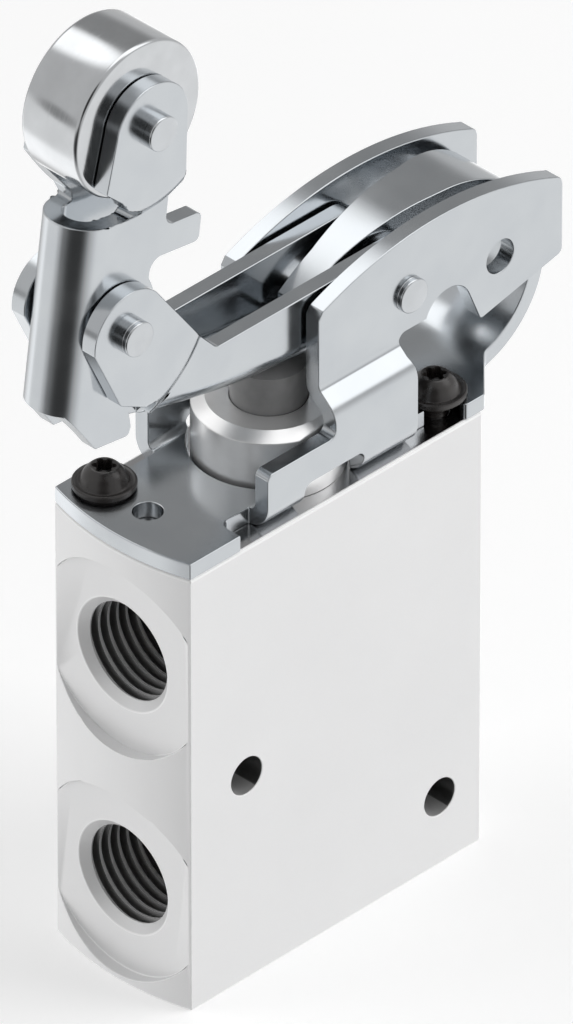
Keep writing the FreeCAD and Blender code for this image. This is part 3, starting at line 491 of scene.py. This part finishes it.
@dataclass
class Easing:
    """Breaks the sharp edges of a frame node's mesh and keeps the exact shading of its faces.

    Each stretch of smooth faces round a vertex draws back from the sharp edges that bound it. A narrow face
    then joins the sides of each edge, and a small one fills each corner where three or more stretches meet.

    Attributes:
        width: How far a face draws back from a sharp edge.
        sharp_from: Angle between two faces from which their edge is sharp.
        trust: Angle from its face past which a corner's stored normal gives way to the face's own.
        blur: Angle within which the normals of one stretch become their mean.
        reach: Most that a stretch draws back where two sharp edges meet, in widths.
        folded: Cosine, plus one, below which two sharp edges are too nearly opposite to draw back from.
        weld: Distance within which vertices are joined.
        flat: Angle within which neighbouring faces are merged.
        first_strip: Number of the new mesh's first face along an edge.
    """

    width: float = 0.14 * MM
    sharp_from: float = 28.0
    trust: float = 25.0
    blur: float = 6.0
    reach: float = 2.5
    folded: float = 0.05
    weld: float = 0.002 * MM
    flat: float = 0.1
    first_strip: int = 0

    def mesh_of(self, node: str, keep_sharp: Test | None = None) -> bpy.types.Mesh:
        """Eased copy of a frame node's mesh.

        Args:
            node: The frame node.
            keep_sharp: Says of an edge's middle whether the edge stays as it is.

        Returns:
            The new mesh.
        """
        shape = self.clean_copy(frame["nodes"][node].data)
        exact = shape.loops.layers.float_vector["exact"]
        edges = [edge for edge in shape.edges if self.is_sharp(edge, keep_sharp)]
        sharp = set(edges)
        spots: list[Vector] = []
        place: dict[tuple[int, int], int] = {}
        faces: list[list[int]] = []
        normals: list[Vector] = []
        for vertex in shape.verts:
            fans = self.fans_at(vertex, sharp)
            first = len(spots)
            for fan in fans:
                self.even_out(fan, exact)
                for loop in fan:
                    place[loop.face.index, vertex.index] = len(spots)
                spots.append(vertex.co + self.draw_back(vertex, fan, sharp))
            if len(fans) > 2:
                faces.append(list(range(first, len(spots))))
                normals += [sum((loop[exact] for loop in fan), Vector()).normalized() for fan in fans]
        for face in shape.faces:
            faces.append([place[face.index, loop.vert.index] for loop in face.loops])
            normals += [loop[exact].copy() for loop in face.loops]
        self.first_strip = len(faces)
        for edge in edges:
            one, other = edge.link_loops
            ends = [one.link_loop_next, one, other.link_loop_next, other]
            corners = [place[loop.face.index, loop.vert.index] for loop in ends]
            kept = [number for number in range(4) if corners[number] != corners[number - 1]]
            if len(kept) > 2:
                faces.append([corners[number] for number in kept])
                normals += [ends[number][exact].copy() for number in kept]
        shape.free()
        made = bpy.data.meshes.new(node + "_eased")
        made.from_pydata(spots, [], faces)
        made.polygons.foreach_set("use_smooth", [True] * len(made.polygons))
        made.normals_split_custom_set(normals)
        return made

    def clean_copy(self, mesh: bpy.types.Mesh) -> bmesh.types.BMesh:
        """Mesh with its seams joined, its flats merged, and its trusted normals kept on its corners."""
        source = mesh.copy()
        parts = [part for normal in source.corner_normals for part in normal.vector]
        source.attributes.new("exact", "FLOAT_VECTOR", "CORNER").data.foreach_set("vector", parts)
        shape = bmesh.new()
        shape.from_mesh(source)
        bpy.data.meshes.remove(source)
        bmesh.ops.remove_doubles(shape, verts=shape.verts, dist=self.weld)
        bmesh.ops.dissolve_degenerate(shape, edges=shape.edges, dist=self.weld)
        flat = math.radians(self.flat)
        bmesh.ops.dissolve_limit(shape, angle_limit=flat, verts=shape.verts, edges=shape.edges)
        shape.normal_update()
        shape.verts.index_update()
        shape.faces.index_update()
        exact = shape.loops.layers.float_vector["exact"]
        for face in shape.faces:
            for loop in face.loops:
                if loop[exact].angle(face.normal, 0.0) > math.radians(self.trust):
                    loop[exact] = face.normal
        return shape

    def is_sharp(self, edge: bmesh.types.BMEdge, keep_sharp: Test | None) -> bool:
        """Whether an edge is to be broken."""
        if not edge.is_manifold or not edge.is_contiguous:
            return False
        if edge.calc_face_angle(0.0) < math.radians(self.sharp_from):
            return False
        return not (keep_sharp and keep_sharp((edge.verts[0].co + edge.verts[1].co) / 2))

    def fans_at(self, vertex: bmesh.types.BMVert, sharp: set[bmesh.types.BMEdge]) -> list[Corners]:
        """Corners round a vertex, in order, split at the sharp edges."""
        every = list(vertex.link_loops)
        if not sharp.intersection(vertex.link_edges) or not vertex.is_manifold:
            return [every]
        start = next(loop for loop in every if loop.edge in sharp)
        fans = [[start]]
        loop = start
        while True:
            crossed = loop.link_loop_prev
            loop = crossed.link_loop_radial_next
            if loop == start or loop.vert != vertex:
                break
            if crossed.edge in sharp:
                fans.append([])
            fans[-1].append(loop)
        return fans if sum(len(fan) for fan in fans) == len(every) else [every]

    def even_out(self, fan: Corners, exact: bmesh.types.BMLayerItem) -> None:
        """Give nearly parallel normals of one stretch their mean, weighted by the faces' areas."""
        mean = sum((loop[exact] * loop.face.calc_area() for loop in fan), Vector()).normalized()
        if max(loop[exact].angle(mean, 0.0) for loop in fan) < math.radians(self.blur):
            for loop in fan:
                loop[exact] = mean

    def draw_back(self, vertex: bmesh.types.BMVert, fan: Corners, sharp: set[bmesh.types.BMEdge]) -> Vector:
        """How far a stretch of faces draws back from the sharp edges at a vertex."""
        inward = []
        for loop in fan:
            if loop.edge in sharp:
                inward.append(loop.face.normal.cross(loop.link_loop_next.vert.co - vertex.co).normalized())
            if loop.link_loop_prev.edge in sharp:
                inward.append(loop.face.normal.cross(vertex.co - loop.link_loop_prev.vert.co).normalized())
        if len(inward) != 2 or 1 + inward[0].dot(inward[1]) < self.folded:
            return Vector()
        shift = (inward[0] + inward[1]) / (1 + inward[0].dot(inward[1]))
        return shift * self.width * min(1.0, self.reach / shift.length)


def turned_mesh(
    name: str, profile: Sequence[Spot], centre: Vector, axis: Axis, steps: int = 96, hollow: bool = False
) -> bpy.types.Mesh:
    """Closed mesh turned about an axis.

    Args:
        name: The mesh's name.
        profile: (radius, level) points along the section.
        centre: A point on the axis; levels are counted from it.
        axis: The axis's direction.
        steps: Facets round the piece.
        hollow: Whether the section is a closed loop clear of the axis.

    Returns:
        The new mesh.
    """
    mesh = bmesh.new()
    loops = []
    for radius, level in profile:
        ring = []
        for number in range(steps if radius > 0 else 1):
            angle = math.tau * number / steps
            along, across = radius * math.cos(angle), radius * math.sin(angle)
            offset = Vector((along, level, across)) if axis is Axis.Y else Vector((along, across, level))
            ring.append(mesh.verts.new(centre + offset))
        loops.append(ring)
    for first, second in zip(loops, loops[1:] + loops[:1] if hollow else loops[1:]):
        for number in range(steps):
            following = (number + 1) % steps
            corners = [first[number % len(first)], second[number % len(second)],
                       second[following % len(second)], first[following % len(first)]]
            unique = list(dict.fromkeys(corners))
            if len(unique) > 2:
                mesh.faces.new(unique)
    bmesh.ops.recalc_face_normals(mesh, faces=mesh.faces)
    return made_from(mesh, name)


def add_sheet_piece(name: str, node: str, finish: str, body: Body, *pins: str) -> None:
    """Make a sheet-metal piece from its solid, with the mouths of its pin holes left sharp."""
    mesh = Easing().mesh_of(node, at_pins(*pins))
    add_piece(name, node, mesh, PlatedSheet(finish).make(), body)


def rounded(profile: Sequence[Corner], steps: int = 4) -> list[Spot]:
    """Section with its corners rounded.

    Args:
        profile: (radius, level, corner radius) points.
        steps: Facets of each rounded corner.

    Returns:
        The (radius, level) points of the rounded section.
    """
    spots: list[Spot] = []
    for number, (radius, level, corner) in enumerate(profile):
        here = Vector((radius, level))
        if corner <= 0 or number in (0, len(profile) - 1):
            spots.append((radius, level))
            continue
        before = (Vector(profile[number - 1][:2]) - here).normalized()
        after = (Vector(profile[number + 1][:2]) - here).normalized()
        half = before.angle(after) / 2
        start = here + before * corner / math.tan(half)
        end = here + after * corner / math.tan(half)
        middle = here + (before + after).normalized() * corner / math.sin(half)
        first, last = start - middle, end - middle
        for step in range(steps + 1):
            turn = first.lerp(last, step / steps).normalized() * corner
            spots.append(tuple(middle + turn))
    return spots


def both_ends(upper: list[Corner]) -> list[Corner]:
    """Section of a piece that is the same at both ends, from the points of its upper half."""
    return [(radius, -level, corner) for radius, level, corner in upper[::-1]] + upper


@dataclass
class Spring:
    """Plain copy of a spring's solid, on no body. It does not bend; held_by and moved_by are not used."""

    node: str
    piece: str
    held_by: Body
    moved_by: Body
    along: Axis
    wire: float

    def build(self, finish: Material) -> None:
        """Make the spring as a plain copy of its solid. The spots a wire's thickness in from each end are
        found but not used.
        """
        low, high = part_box(self.node)
        start = (low + high) / 2
        end = start.copy()
        index = "XYZ".index(self.along.value)
        start[index] = low[index] + self.wire
        end[index] = high[index] - self.wire
        mesh = frame["nodes"][self.node].data.copy()
        spring = add_piece(self.piece, self.node, mesh, finish, None)
        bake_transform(spring)


@dataclass
class Pin:
    """Ground pin along Y with rounded tips, a wider seat, and a fine line near each tip where it has one."""

    node: str
    piece: str
    finish: str
    body: Body
    stand_out: float
    lined: bool = True
    colour: Colour = (0.62, 0.64, 0.66)
    roughness: float = 0.16
    seat_fit: float = 0.045 * MM
    corner: float = 0.22 * MM
    line_inset: float = 0.55 * MM
    line_width: float = 0.14 * MM
    line_depth: float = 0.08 * MM

    def build(self) -> None:
        """Make the pin in place of its node."""
        low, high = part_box(self.node)
        radius, half = (high.z - low.z) / 2, (high.y - low.y) / 2
        shoulder, level = half - self.stand_out, half - self.line_inset
        upper = [(radius + self.seat_fit, shoulder, 0.0), (radius, shoulder, 0.0)]
        if self.lined:
            upper.append((radius, level - self.line_width, 0.0))
            upper.append((radius - self.line_depth, level - self.line_width / 2, 0.0))
            upper.append((radius, level, 0.0))
        upper += [(radius, half, self.corner), (0.0, half, 0.0)]
        centre = middle_of(self.node)
        mesh = turned_mesh(self.piece, rounded(both_ends(upper)), centre, Axis.Y)
        steel = TurnedMetal(self.finish, self.colour, self.roughness, centre=centre, axis=Axis.Y)
        add_piece(self.piece, self.node, mesh, steel.make(), self.body)


@dataclass
class Block:
    """Valve block and the plug in its foot.

    Attributes:
        edge: Width of the block's broken edges.
        thread_reach: Distance from a port's axis within which edges stay sharp.
        mouth_reach: Distance from a port's axis within which steep faces are thread flanks.
        chamfer_reach: Depth below the block's ends at which the threads begin.
        hole_reach: Distance from a cross hole's axis within which faces are its wall.
        top_depth: Depth below the top within which faces belong to it.
        flank_slope: Least share of X in the normal of a thread's flank.
    """

    edge: float = 0.12 * MM
    thread_reach: float = 6.4 * MM
    mouth_reach: float = 6.7 * MM
    chamfer_reach: float = 2.4 * MM
    hole_reach: float = 2.3 * MM
    top_depth: float = 0.01 * MM
    flank_slope: float = 0.6
    # Thread flanks: a dark copy of the bored metal, painted shade in the thread grooves.
    flank: Finish = BoredMetal("flank_painted_shade", (0.34, 0.34, 0.34), 0.35, shade=(0.3, 0.3, 0.3))
    # Cross-hole walls: a darker copy of the blasted metal, painted shade in the holes.
    painted_hole_shade: Finish = BlastedMetal("painted_hole_shade_metal", (0.6, 0.6, 0.6), shade=(0.52, 0.52, 0.52))
    plug: Finish = TurnedMetal("plug_metal", (0.7, 0.7, 0.7), 0.4)

    def __post_init__(self) -> None:
        """Read the ports, the cross holes and the block's far corner from the frame."""
        mounts = frame["record"]["mounts"]
        self.ports = [Vector(mount["pos_m"]) for mount in mounts if mount["kind"] == "threaded_hole"]
        self.holes = [Vector(mount["pos_m"]) for mount in mounts if mount["name"].startswith("fixing_hole")]
        self.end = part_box("valve_body")[1]

    def build(self) -> None:
        """Make the block and the plug."""
        easing = Easing(self.edge)
        mesh = easing.mesh_of("valve_body", lambda spot: self.off_port(spot) < self.thread_reach)
        add_piece("block", "valve_body", mesh, BlastedMetal().make(), Body.VALVE)
        # After the blasted metal come the bored top, the painted edge highlight, and the flanks and hole
        # walls in painted shade.
        for finish in (BoredMetal(), PaintedEdgeHighlight(), self.flank, self.painted_hole_shade):
            mesh.materials.append(finish.make())
        for face in mesh.polygons:
            face.material_index = Surface.EDGE if face.index >= easing.first_strip else self.surface_of(face)
        dress("bottom_plug", self.plug.make())

    def off_port(self, spot: Vector) -> float:
        """Distance of a spot from the nearest port's axis."""
        return min(math.hypot(spot.y - port.y, spot.z - port.z) for port in self.ports)

    def surface_of(self, face: bpy.types.MeshPolygon) -> Surface:
        """Material slot of a face that isn't along an edge."""
        spot = face.center
        in_mouth = self.off_port(spot) < self.mouth_reach and abs(spot.x) < self.end.x - self.chamfer_reach
        if in_mouth and abs(face.normal.x) > self.flank_slope:
            return Surface.FLANK
        if spot.z > self.end.z - self.top_depth:
            return Surface.TOP
        if any(math.hypot(spot.x - hole.x, spot.z - hole.z) < self.hole_reach for hole in self.holes):
            return Surface.HOLE
        return Surface.BLASTED


@dataclass(frozen=True)
class Ring:
    """One ring of a screw: its radius and its level above the seat, both in metres.

    In the socket the ring has six lobes, and radius is a share of the socket's own.
    """

    radius: float
    level: float
    lobed: bool = False


@dataclass
class Screw:
    """Flanged screw with a domed head, a six-lobed socket and a rolled thread.

    Attributes:
        rim_crest: Points over the flange's rim: how far in from its radius, and how far below its height.
        socket_steps: Rings down the socket: share of its own outline, and depth.
        dome_steps: Rings between the flange and the crown, less one.
        dome_swell: Power that moves the dome's belly towards the crown.
        dome_rise: Power that makes the dome steep near the crown.
        turns: How far the sockets of the two screws are turned, in radians.
    """

    flange_radius: float = 3.45 * MM
    flange_height: float = 1.0 * MM
    flange_lift: float = 0.3 * MM
    bevel: float = 0.12 * MM
    rim_crest: tuple[Spot, ...] = (
        (0.0, 0.14 * MM), (0.1 * MM, 0.02 * MM), (0.24 * MM, 0.0), (0.36 * MM, 0.07 * MM)
    )
    neck_radius: float = 3.0 * MM
    dome_radius: float = 2.75 * MM
    valley_level: float = 0.9 * MM
    dome_foot: float = 0.92 * MM
    dome_drop: float = 0.05 * MM
    dome_steps: int = 16
    dome_swell: float = 1.3
    dome_rise: float = 1.25
    crown_radius: float = 1.5 * MM
    belly: float = 0.2 * MM
    head_height: float = 2.8 * MM
    socket_radius: float = 0.95 * MM
    lobe_radius: float = 0.36 * MM
    socket_steps: tuple[Spot, ...] = ((1.0, 0.02 * MM), (0.96, 0.14 * MM), (0.94, 1.35 * MM))
    socket_point: float = 0.2 * MM
    shank_radius: float = 1.45 * MM
    core_radius: float = 1.2 * MM
    tip_share: float = 0.6
    tip_length: float = 0.3 * MM
    thread_start: float = 0.35 * MM
    pitch: float = 0.5 * MM
    turns: Spot = (0.2, 0.45)
    facets: int = 96
    smooth_below: float = 35.0

    def shank(self, reach: float) -> list[Ring]:
        """Rings of the shank's thread, up from its tip."""
        rings = [Ring(self.core_radius * self.tip_share, -reach)]
        rings.append(Ring(self.core_radius, -reach + self.tip_length))
        for step in range(int((reach - 2 * self.tip_length) / self.pitch)):
            level = -reach + self.thread_start + step * self.pitch
            rings.append(Ring(self.core_radius, level))
            rings.append(Ring(self.shank_radius, level + 0.5 * self.pitch))
        return rings

    def flange(self) -> list[Ring]:
        """Rings of the flange, from its underside over its rim to the dome's foot."""
        rim, lift = self.flange_radius, self.flange_lift
        rings = [Ring(self.shank_radius, 0.0), Ring(self.neck_radius, 0.0), Ring(self.neck_radius, lift)]
        rings += [Ring(rim - self.bevel, lift), Ring(rim, lift + self.bevel)]
        rings += [Ring(rim - inset, self.flange_height - drop) for inset, drop in self.rim_crest]
        return rings + [Ring(self.dome_radius + self.bevel, self.valley_level)]

    def dome(self) -> list[Ring]:
        """Rings of the dome, up to the crown."""
        rings = []
        height = self.head_height - self.dome_drop - self.dome_foot
        for step in range(self.dome_steps + 1):
            share = step / self.dome_steps
            belly = self.belly * math.sin(math.pi * share ** self.dome_swell)
            radius = self.dome_radius + (self.crown_radius - self.dome_radius) * share + belly
            rings.append(Ring(radius, self.dome_foot + height * share ** self.dome_rise + 0.5 * belly))
        rings.append(Ring(self.crown_radius - self.bevel, self.head_height))
        return rings

    def socket(self) -> list[Ring]:
        """Rings of the socket, down to its point."""
        rings = [Ring(share, self.head_height - depth, True) for share, depth in self.socket_steps]
        return rings + [Ring(0.5 * self.socket_radius, rings[-1].level - self.socket_point)]

    def lobed_radius(self, angle: float) -> float:
        """Socket's radius at an angle round the screw, in radians."""
        offset = (angle + math.pi / 6) % (math.pi / 3) - math.pi / 6
        across = self.socket_radius * math.sin(offset)
        if abs(across) >= self.lobe_radius:
            return self.socket_radius
        lobe = self.socket_radius * math.cos(offset) + math.sqrt(self.lobe_radius ** 2 - across ** 2)
        return max(self.socket_radius, lobe)

    def add_to(self, mesh: bmesh.types.BMesh, seat: Vector, reach: float, turn: float) -> None:
        """Add one screw to a mesh.

        Args:
            mesh: The mesh that takes it.
            seat: Middle of the flange's underside.
            reach: Length of the shank.
            turn: How far the socket is turned, in radians.
        """
        loops = []
        for ring in self.shank(reach) + self.flange() + self.dome() + self.socket():
            loop = []
            for number in range(self.facets):
                angle = math.tau * number / self.facets
                radius = ring.radius * self.lobed_radius(angle) if ring.lobed else ring.radius
                spot = Vector((radius * math.cos(angle + turn), radius * math.sin(angle + turn), ring.level))
                loop.append(mesh.verts.new(seat + spot))
            loops.append(loop)
        for first, second in zip(loops, loops[1:]):
            for number in range(self.facets):
                following = (number + 1) % self.facets
                mesh.faces.new((first[number], first[following], second[following], second[number]))
        mesh.faces.new(loops[0][::-1])
        mesh.faces.new(loops[-1])

    def pair(self) -> bpy.types.Mesh:
        """Mesh of the bracket's two screws, placed by their node's box."""
        low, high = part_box("bracket_screws")
        seat = high.z - self.head_height
        rim = self.flange_radius
        spots = (Vector((low.x + rim, high.y - rim, seat)), Vector((high.x - rim, low.y + rim, seat)))
        mesh = bmesh.new()
        for spot, turn in zip(spots, self.turns):
            self.add_to(mesh, spot, seat - low.z, turn)
        return made_from(mesh, "screws", self.smooth_below)


@dataclass
class Bracket:
    """Sheet-metal bracket and its two screws."""

    def build(self) -> None:
        """Make the bracket and the screws."""
        add_sheet_piece("bracket", "mounting_bracket", "plated_sheet", Body.VALVE, "lever_pivot_pin")
        add_piece("screws", "bracket_screws", Screw().pair(), BlackOxide().make(), Body.VALVE)


@dataclass
class Guide:
    """Collar, its seal and wiper, and the plunger."""

    edge: float = 0.1 * MM
    collar: Finish = TurnedMetal(
        "collar_metal", (0.95, 0.95, 0.95), 0.32, metallic=0.76, glossier=0.008, matter=0.008,
        line_pitch=0.2 * MM, line_height=0.00003 * MM,
    )
    rubber: Finish = Moulded("seal_rubber", (0.02, 0.02, 0.02), 0.5)
    plastic: Finish = Moulded("dark_plastic", (0.23, 0.23, 0.231), 0.42)

    def build(self) -> None:
        """Make the collar, and dress the seals, the wiper and the plunger."""
        mesh = Easing(self.edge).mesh_of("guide_bushing")
        add_piece("collar", "guide_bushing", mesh, self.collar.make(), Body.VALVE)
        for node in ("bushing_seal", "stem_wiper", "spool_seals"):
            dress(node, self.rubber.make())
        dress("plunger", self.plastic.make())


@dataclass
class SpoolStack:
    """Spool, cages and return spring inside the block."""

    spring_wire: float = 0.5 * MM
    brass: Finish = TurnedMetal("turned_brass", (0.72, 0.54, 0.25), 0.3)
    steel: Finish = TurnedMetal("spool_steel", SPRING_STEEL, 0.2)

    def build(self) -> None:
        """Dress the spool and the cages, and make the spring."""
        for node in ("upper_cage", "middle_cage", "lower_cage"):
            dress(node, self.brass.make())
        dress("valve_spool", self.steel.make())
        spring = Spring("return_spring", "stem_spring", Body.VALVE, Body.STEM, Axis.Z, self.spring_wire)
        spring.build(self.steel.make())


@dataclass
class LeverSet:
    """Lever, its pivot pin and bush."""

    pin_stand_out: float = 0.7 * MM

    def build(self) -> None:
        """Make the lever and its pin, and dress the bush."""
        add_sheet_piece("lever_channel", "lever", "lever_sheet", Body.LEVER, "lever_pivot_pin", "toggle_pin")
        Pin("lever_pivot_pin", "pivot_pin", "pivot_steel", Body.VALVE, self.pin_stand_out).build()
        dress_bush("lever_bush")


@dataclass
class ToggleSet:
    """Toggle arm with its pin, bush and spring."""

    pin_stand_out: float = 1.4 * MM
    spring_wire: float = 0.6 * MM

    def build(self) -> None:
        """Make the arm, its pin and its spring, and dress the bush."""
        add_sheet_piece("arm_channel", "toggle_arm", "arm_sheet", Body.TOGGLE, "toggle_pin", "roller_pin")
        Pin("toggle_pin", "arm_pin", "toggle_steel", Body.LEVER, self.pin_stand_out).build()
        dress_bush("toggle_bush")
        steel = TurnedMetal("spring_steel", SPRING_STEEL, 0.2, centre=middle_of("toggle_pin"), axis=Axis.Y)
        spring = Spring("toggle_spring", "arm_spring", Body.LEVER, Body.TOGGLE, Axis.Y, self.spring_wire)
        spring.build(steel.make())


@dataclass
class RollerSet:
    """Roller with its pin and bush."""

    corner: float = 0.5 * MM
    bore_fit: float = 0.02 * MM
    bore_chamfer: float = 0.3 * MM
    facets: int = 144
    pin_stand_out: float = 1.67 * MM

    def build(self) -> None:
        """Make the roller and its pin, and dress the bush."""
        low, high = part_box("roller")
        inner_low, inner_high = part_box("roller_bush")
        radius, half = (high.z - low.z) / 2, (high.y - low.y) / 2
        bore = (inner_high.z - inner_low.z) / 2 + self.bore_fit
        upper = [(radius, half, self.corner)]
        upper.append((bore + self.bore_chamfer, half, 0.0))
        upper.append((bore, half - self.bore_chamfer, 0.0))
        centre = middle_of("roller")
        mesh = turned_mesh("wheel", rounded(both_ends(upper)), centre, Axis.Y, steps=self.facets, hollow=True)
        steel = TurnedMetal("roller_steel", (0.64, 0.655, 0.67), 0.14, centre=centre, axis=Axis.Y)
        add_piece("wheel", "roller", mesh, steel.make(), Body.ROLLER)
        Pin("roller_pin", "axle", "axle_steel", Body.TOGGLE, self.pin_stand_out, lined=False).build()
        dress_bush("roller_bush")


def direction(azimuth: float, elevation: float) -> Vector:
    """Unit vector towards an azimuth and an elevation."""
    turn, rise = math.radians(azimuth), math.radians(elevation)
    return Vector((math.cos(turn) * math.cos(rise), math.sin(turn) * math.cos(rise), math.sin(rise)))


@dataclass(frozen=True)
class SoftBox:
    """Soft round patch of light or shade that bare metal reflects.

    Attributes:
        azimuth: Where it stands.
        elevation: How high it stands.
        inner: Angle from its middle up to which it is even.
        outer: Angle from its middle at which it has faded out.
        level: Its brightness.
    """

    azimuth: float
    elevation: float
    inner: float
    outer: float
    level: float


@dataclass(frozen=True)
class Lamp:
    """Square soft lamp: where it stands, the length of its side, and its power in watts."""

    name: str
    place: Triple
    size: float
    power: float


@dataclass
class Studio:
    """Floor, background, lamps and camera.

    Attributes:
        aim: Spot that the camera and the lamps look at.
        slide_right: How far the camera then moves to the right.
        slide_up: How far it then moves up.
        frame_height: Height of the picture at the aim.
        reflected: Brightness that bare metal reflects where there is no patch.
        even_light: Brightness of the light from all sides on what isn't bare metal.
        floor_glow: Light of its own that the floor shows to the camera.
        patches: What bare metal reflects. A later patch covers an earlier one.
    """

    lens: float = 960.0
    sensor: float = 36.0
    clip_start: float = 0.1
    clip_end: float = 50.0
    azimuth: float = -135.0
    elevation: float = 35.57
    aim: Vector = field(default_factory=lambda: Vector((0.0, 0.0, 50.0 * MM)))
    slide_right: float = 1.844 * MM
    slide_up: float = -1.344 * MM
    frame_height: float = 106.55 * MM
    reflected: float = 0.62
    even_light: float = 0.45
    floor_reach: float = 20.0
    floor_colour: Colour = (0.9, 0.9, 0.9)
    floor_roughness: float = 0.9
    floor_glow: float = 0.3
    patches: tuple[SoftBox, ...] = (
        SoftBox(-45.0, -35.0, 32.0, 56.0, 1.02),
        SoftBox(122.0, -46.0, 14.0, 40.0, 1.4),
        SoftBox(136.0, -22.0, 14.0, 26.0, 0.95),
        SoftBox(45.0, 32.0, 12.0, 30.0, 0.33),
        SoftBox(85.0, 50.0, 9.0, 20.0, 1.7),
        SoftBox(-12.0, 76.0, 17.0, 30.0, 1.7),
        SoftBox(-38.0, 44.0, 12.0, 24.0, 1.7),
        SoftBox(27.0, -41.0, 12.0, 26.0, 1.5),
        SoftBox(-138.0, 24.0, 16.0, 30.0, 0.05),
        SoftBox(146.0, -1.0, 2.0, 9.0, 0.3),
        SoftBox(-174.0, -22.0, 9.0, 20.0, 0.24),
        SoftBox(-146.0, -24.0, 9.0, 35.0, 0.05),
    )
    lamps: tuple[Lamp, ...] = (
        Lamp("right_lamp", (0.6, -0.62, 0.35), 0.7, 5.5),
        Lamp("left_lamp", (-0.55, 0.6, 0.25), 0.6, 2.5),
    )

    def build(self) -> None:
        """Make the world, the floor, the lamps and the camera."""
        bpy.context.scene.view_settings.view_transform = "Standard"
        self.make_world()
        self.make_floor()
        self.make_lamps()
        self.make_camera()

    def make_world(self) -> None:
        """White to the camera, soft patches to bare metal, and an even light to the rest."""
        world = bpy.data.worlds.new("studio")
        bpy.context.scene.world = world
        world.use_nodes = True
        sky = Nodes(world.node_tree)
        sky.tree.nodes.clear()
        rays = sky.add("ShaderNodeLightPath").outputs
        mirrored = self.background(sky, self.patchwork(sky))
        glossy = self.switch(sky, rays["Is Glossy Ray"], self.background(sky, self.even_light), mirrored)
        seen = self.switch(sky, rays["Is Camera Ray"], glossy, self.background(sky, 1.0))
        sky.add("ShaderNodeOutputWorld", {"Surface": seen})

    def background(self, sky: Nodes, strength: Value) -> Socket:
        """White background of a strength."""
        return sky.add("ShaderNodeBackground", {"Color": WHITE, "Strength": strength}).outputs[0]

    def switch(self, sky: Nodes, share: Socket, first: Socket, second: Socket) -> Socket:
        """Shader that is the first where the share is 0, and the second where it is 1."""
        return sky.add("ShaderNodeMixShader", {0: share, 1: first, 2: second}).outputs[0]

    def patchwork(self, sky: Nodes) -> Socket:
        """Brightness in each direction: an even level with the patches over it."""
        towards = sky.add("ShaderNodeTexCoord").outputs["Generated"]
        under: Value = self.reflected
        for patch in self.patches:
            dot = sky.vector("DOT_PRODUCT", towards, direction(patch.azimuth, patch.elevation))
            inner, outer = math.radians(patch.inner), math.radians(patch.outer)
            inputs = {"Value": dot.outputs["Value"], "From Min": math.cos(outer), "From Max": math.cos(inner)}
            share = sky.add("ShaderNodeMapRange", inputs, interpolation_type="SMOOTHSTEP").outputs["Result"]
            inputs = {MIX_SHARE: share, MIX_FIRST_VALUE: under, MIX_SECOND_VALUE: patch.level}
            under = sky.add("ShaderNodeMix", inputs).outputs[MIX_VALUE]
        return under

    def make_floor(self) -> None:
        """Plain pale floor that keeps the part's shadow."""
        mesh = bpy.data.meshes.new("floor")
        reach = self.floor_reach
        corners = [(-reach, -reach, 0.0), (reach, -reach, 0.0), (reach, reach, 0.0), (-reach, reach, 0.0)]
        mesh.from_pydata(corners, [], [(0, 1, 2, 3)])
        paper = Sheet("floor_paper", self.floor_colour, 0.0, self.floor_roughness)
        seen = paper.add("ShaderNodeLightPath").outputs["Is Camera Ray"]
        glow = paper.add("ShaderNodeMath", {0: seen, 1: self.floor_glow}, operation="MULTIPLY")
        paper.put("Emission Color", WHITE)
        paper.put("Emission Strength", glow.outputs[0])
        mesh.materials.append(paper.material)
        floor = bpy.data.objects.new("floor", mesh)
        bpy.context.scene.collection.objects.link(floor)
        floor.visible_glossy = False

    def make_lamps(self) -> None:
        """Two large soft lamps, one on each side of the camera."""
        for lamp in self.lamps:
            light = bpy.data.lights.new(lamp.name, "AREA")
            light.size = lamp.size
            light.energy = lamp.power
            piece = bpy.data.objects.new(lamp.name, light)
            piece.location = lamp.place
            piece.rotation_euler = (self.aim - Vector(lamp.place)).to_track_quat("-Z", "Y").to_euler()
            piece.visible_glossy = False
            bpy.context.scene.collection.objects.link(piece)

    def make_camera(self) -> None:
        """Camera at the photograph's angle and framing."""
        data = bpy.data.cameras.new("camera")
        data.lens = self.lens
        data.sensor_width = self.sensor
        data.clip_start = self.clip_start
        data.clip_end = self.clip_end
        camera = bpy.data.objects.new("camera", data)
        back = direction(self.azimuth, self.elevation)
        right = Vector((0.0, 0.0, 1.0)).cross(back).normalized()
        up = back.cross(right)
        distance = self.lens * self.frame_height / self.sensor
        camera.location = self.aim + right * self.slide_right + up * self.slide_up + back * distance
        camera.rotation_euler = Matrix((right, up, back)).transposed().to_euler()
        bpy.context.scene.collection.objects.link(camera)
        bpy.context.scene.camera = camera


def main() -> None:
    """Build every sub-assembly and the studio."""
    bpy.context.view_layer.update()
    for part in (Block(), Bracket(), Guide(), SpoolStack(), LeverSet(), ToggleSet(), RollerSet(), Studio()):
        log.info("building %s", type(part).__name__)
        part.build()


if __name__ == "__main__":
    main()
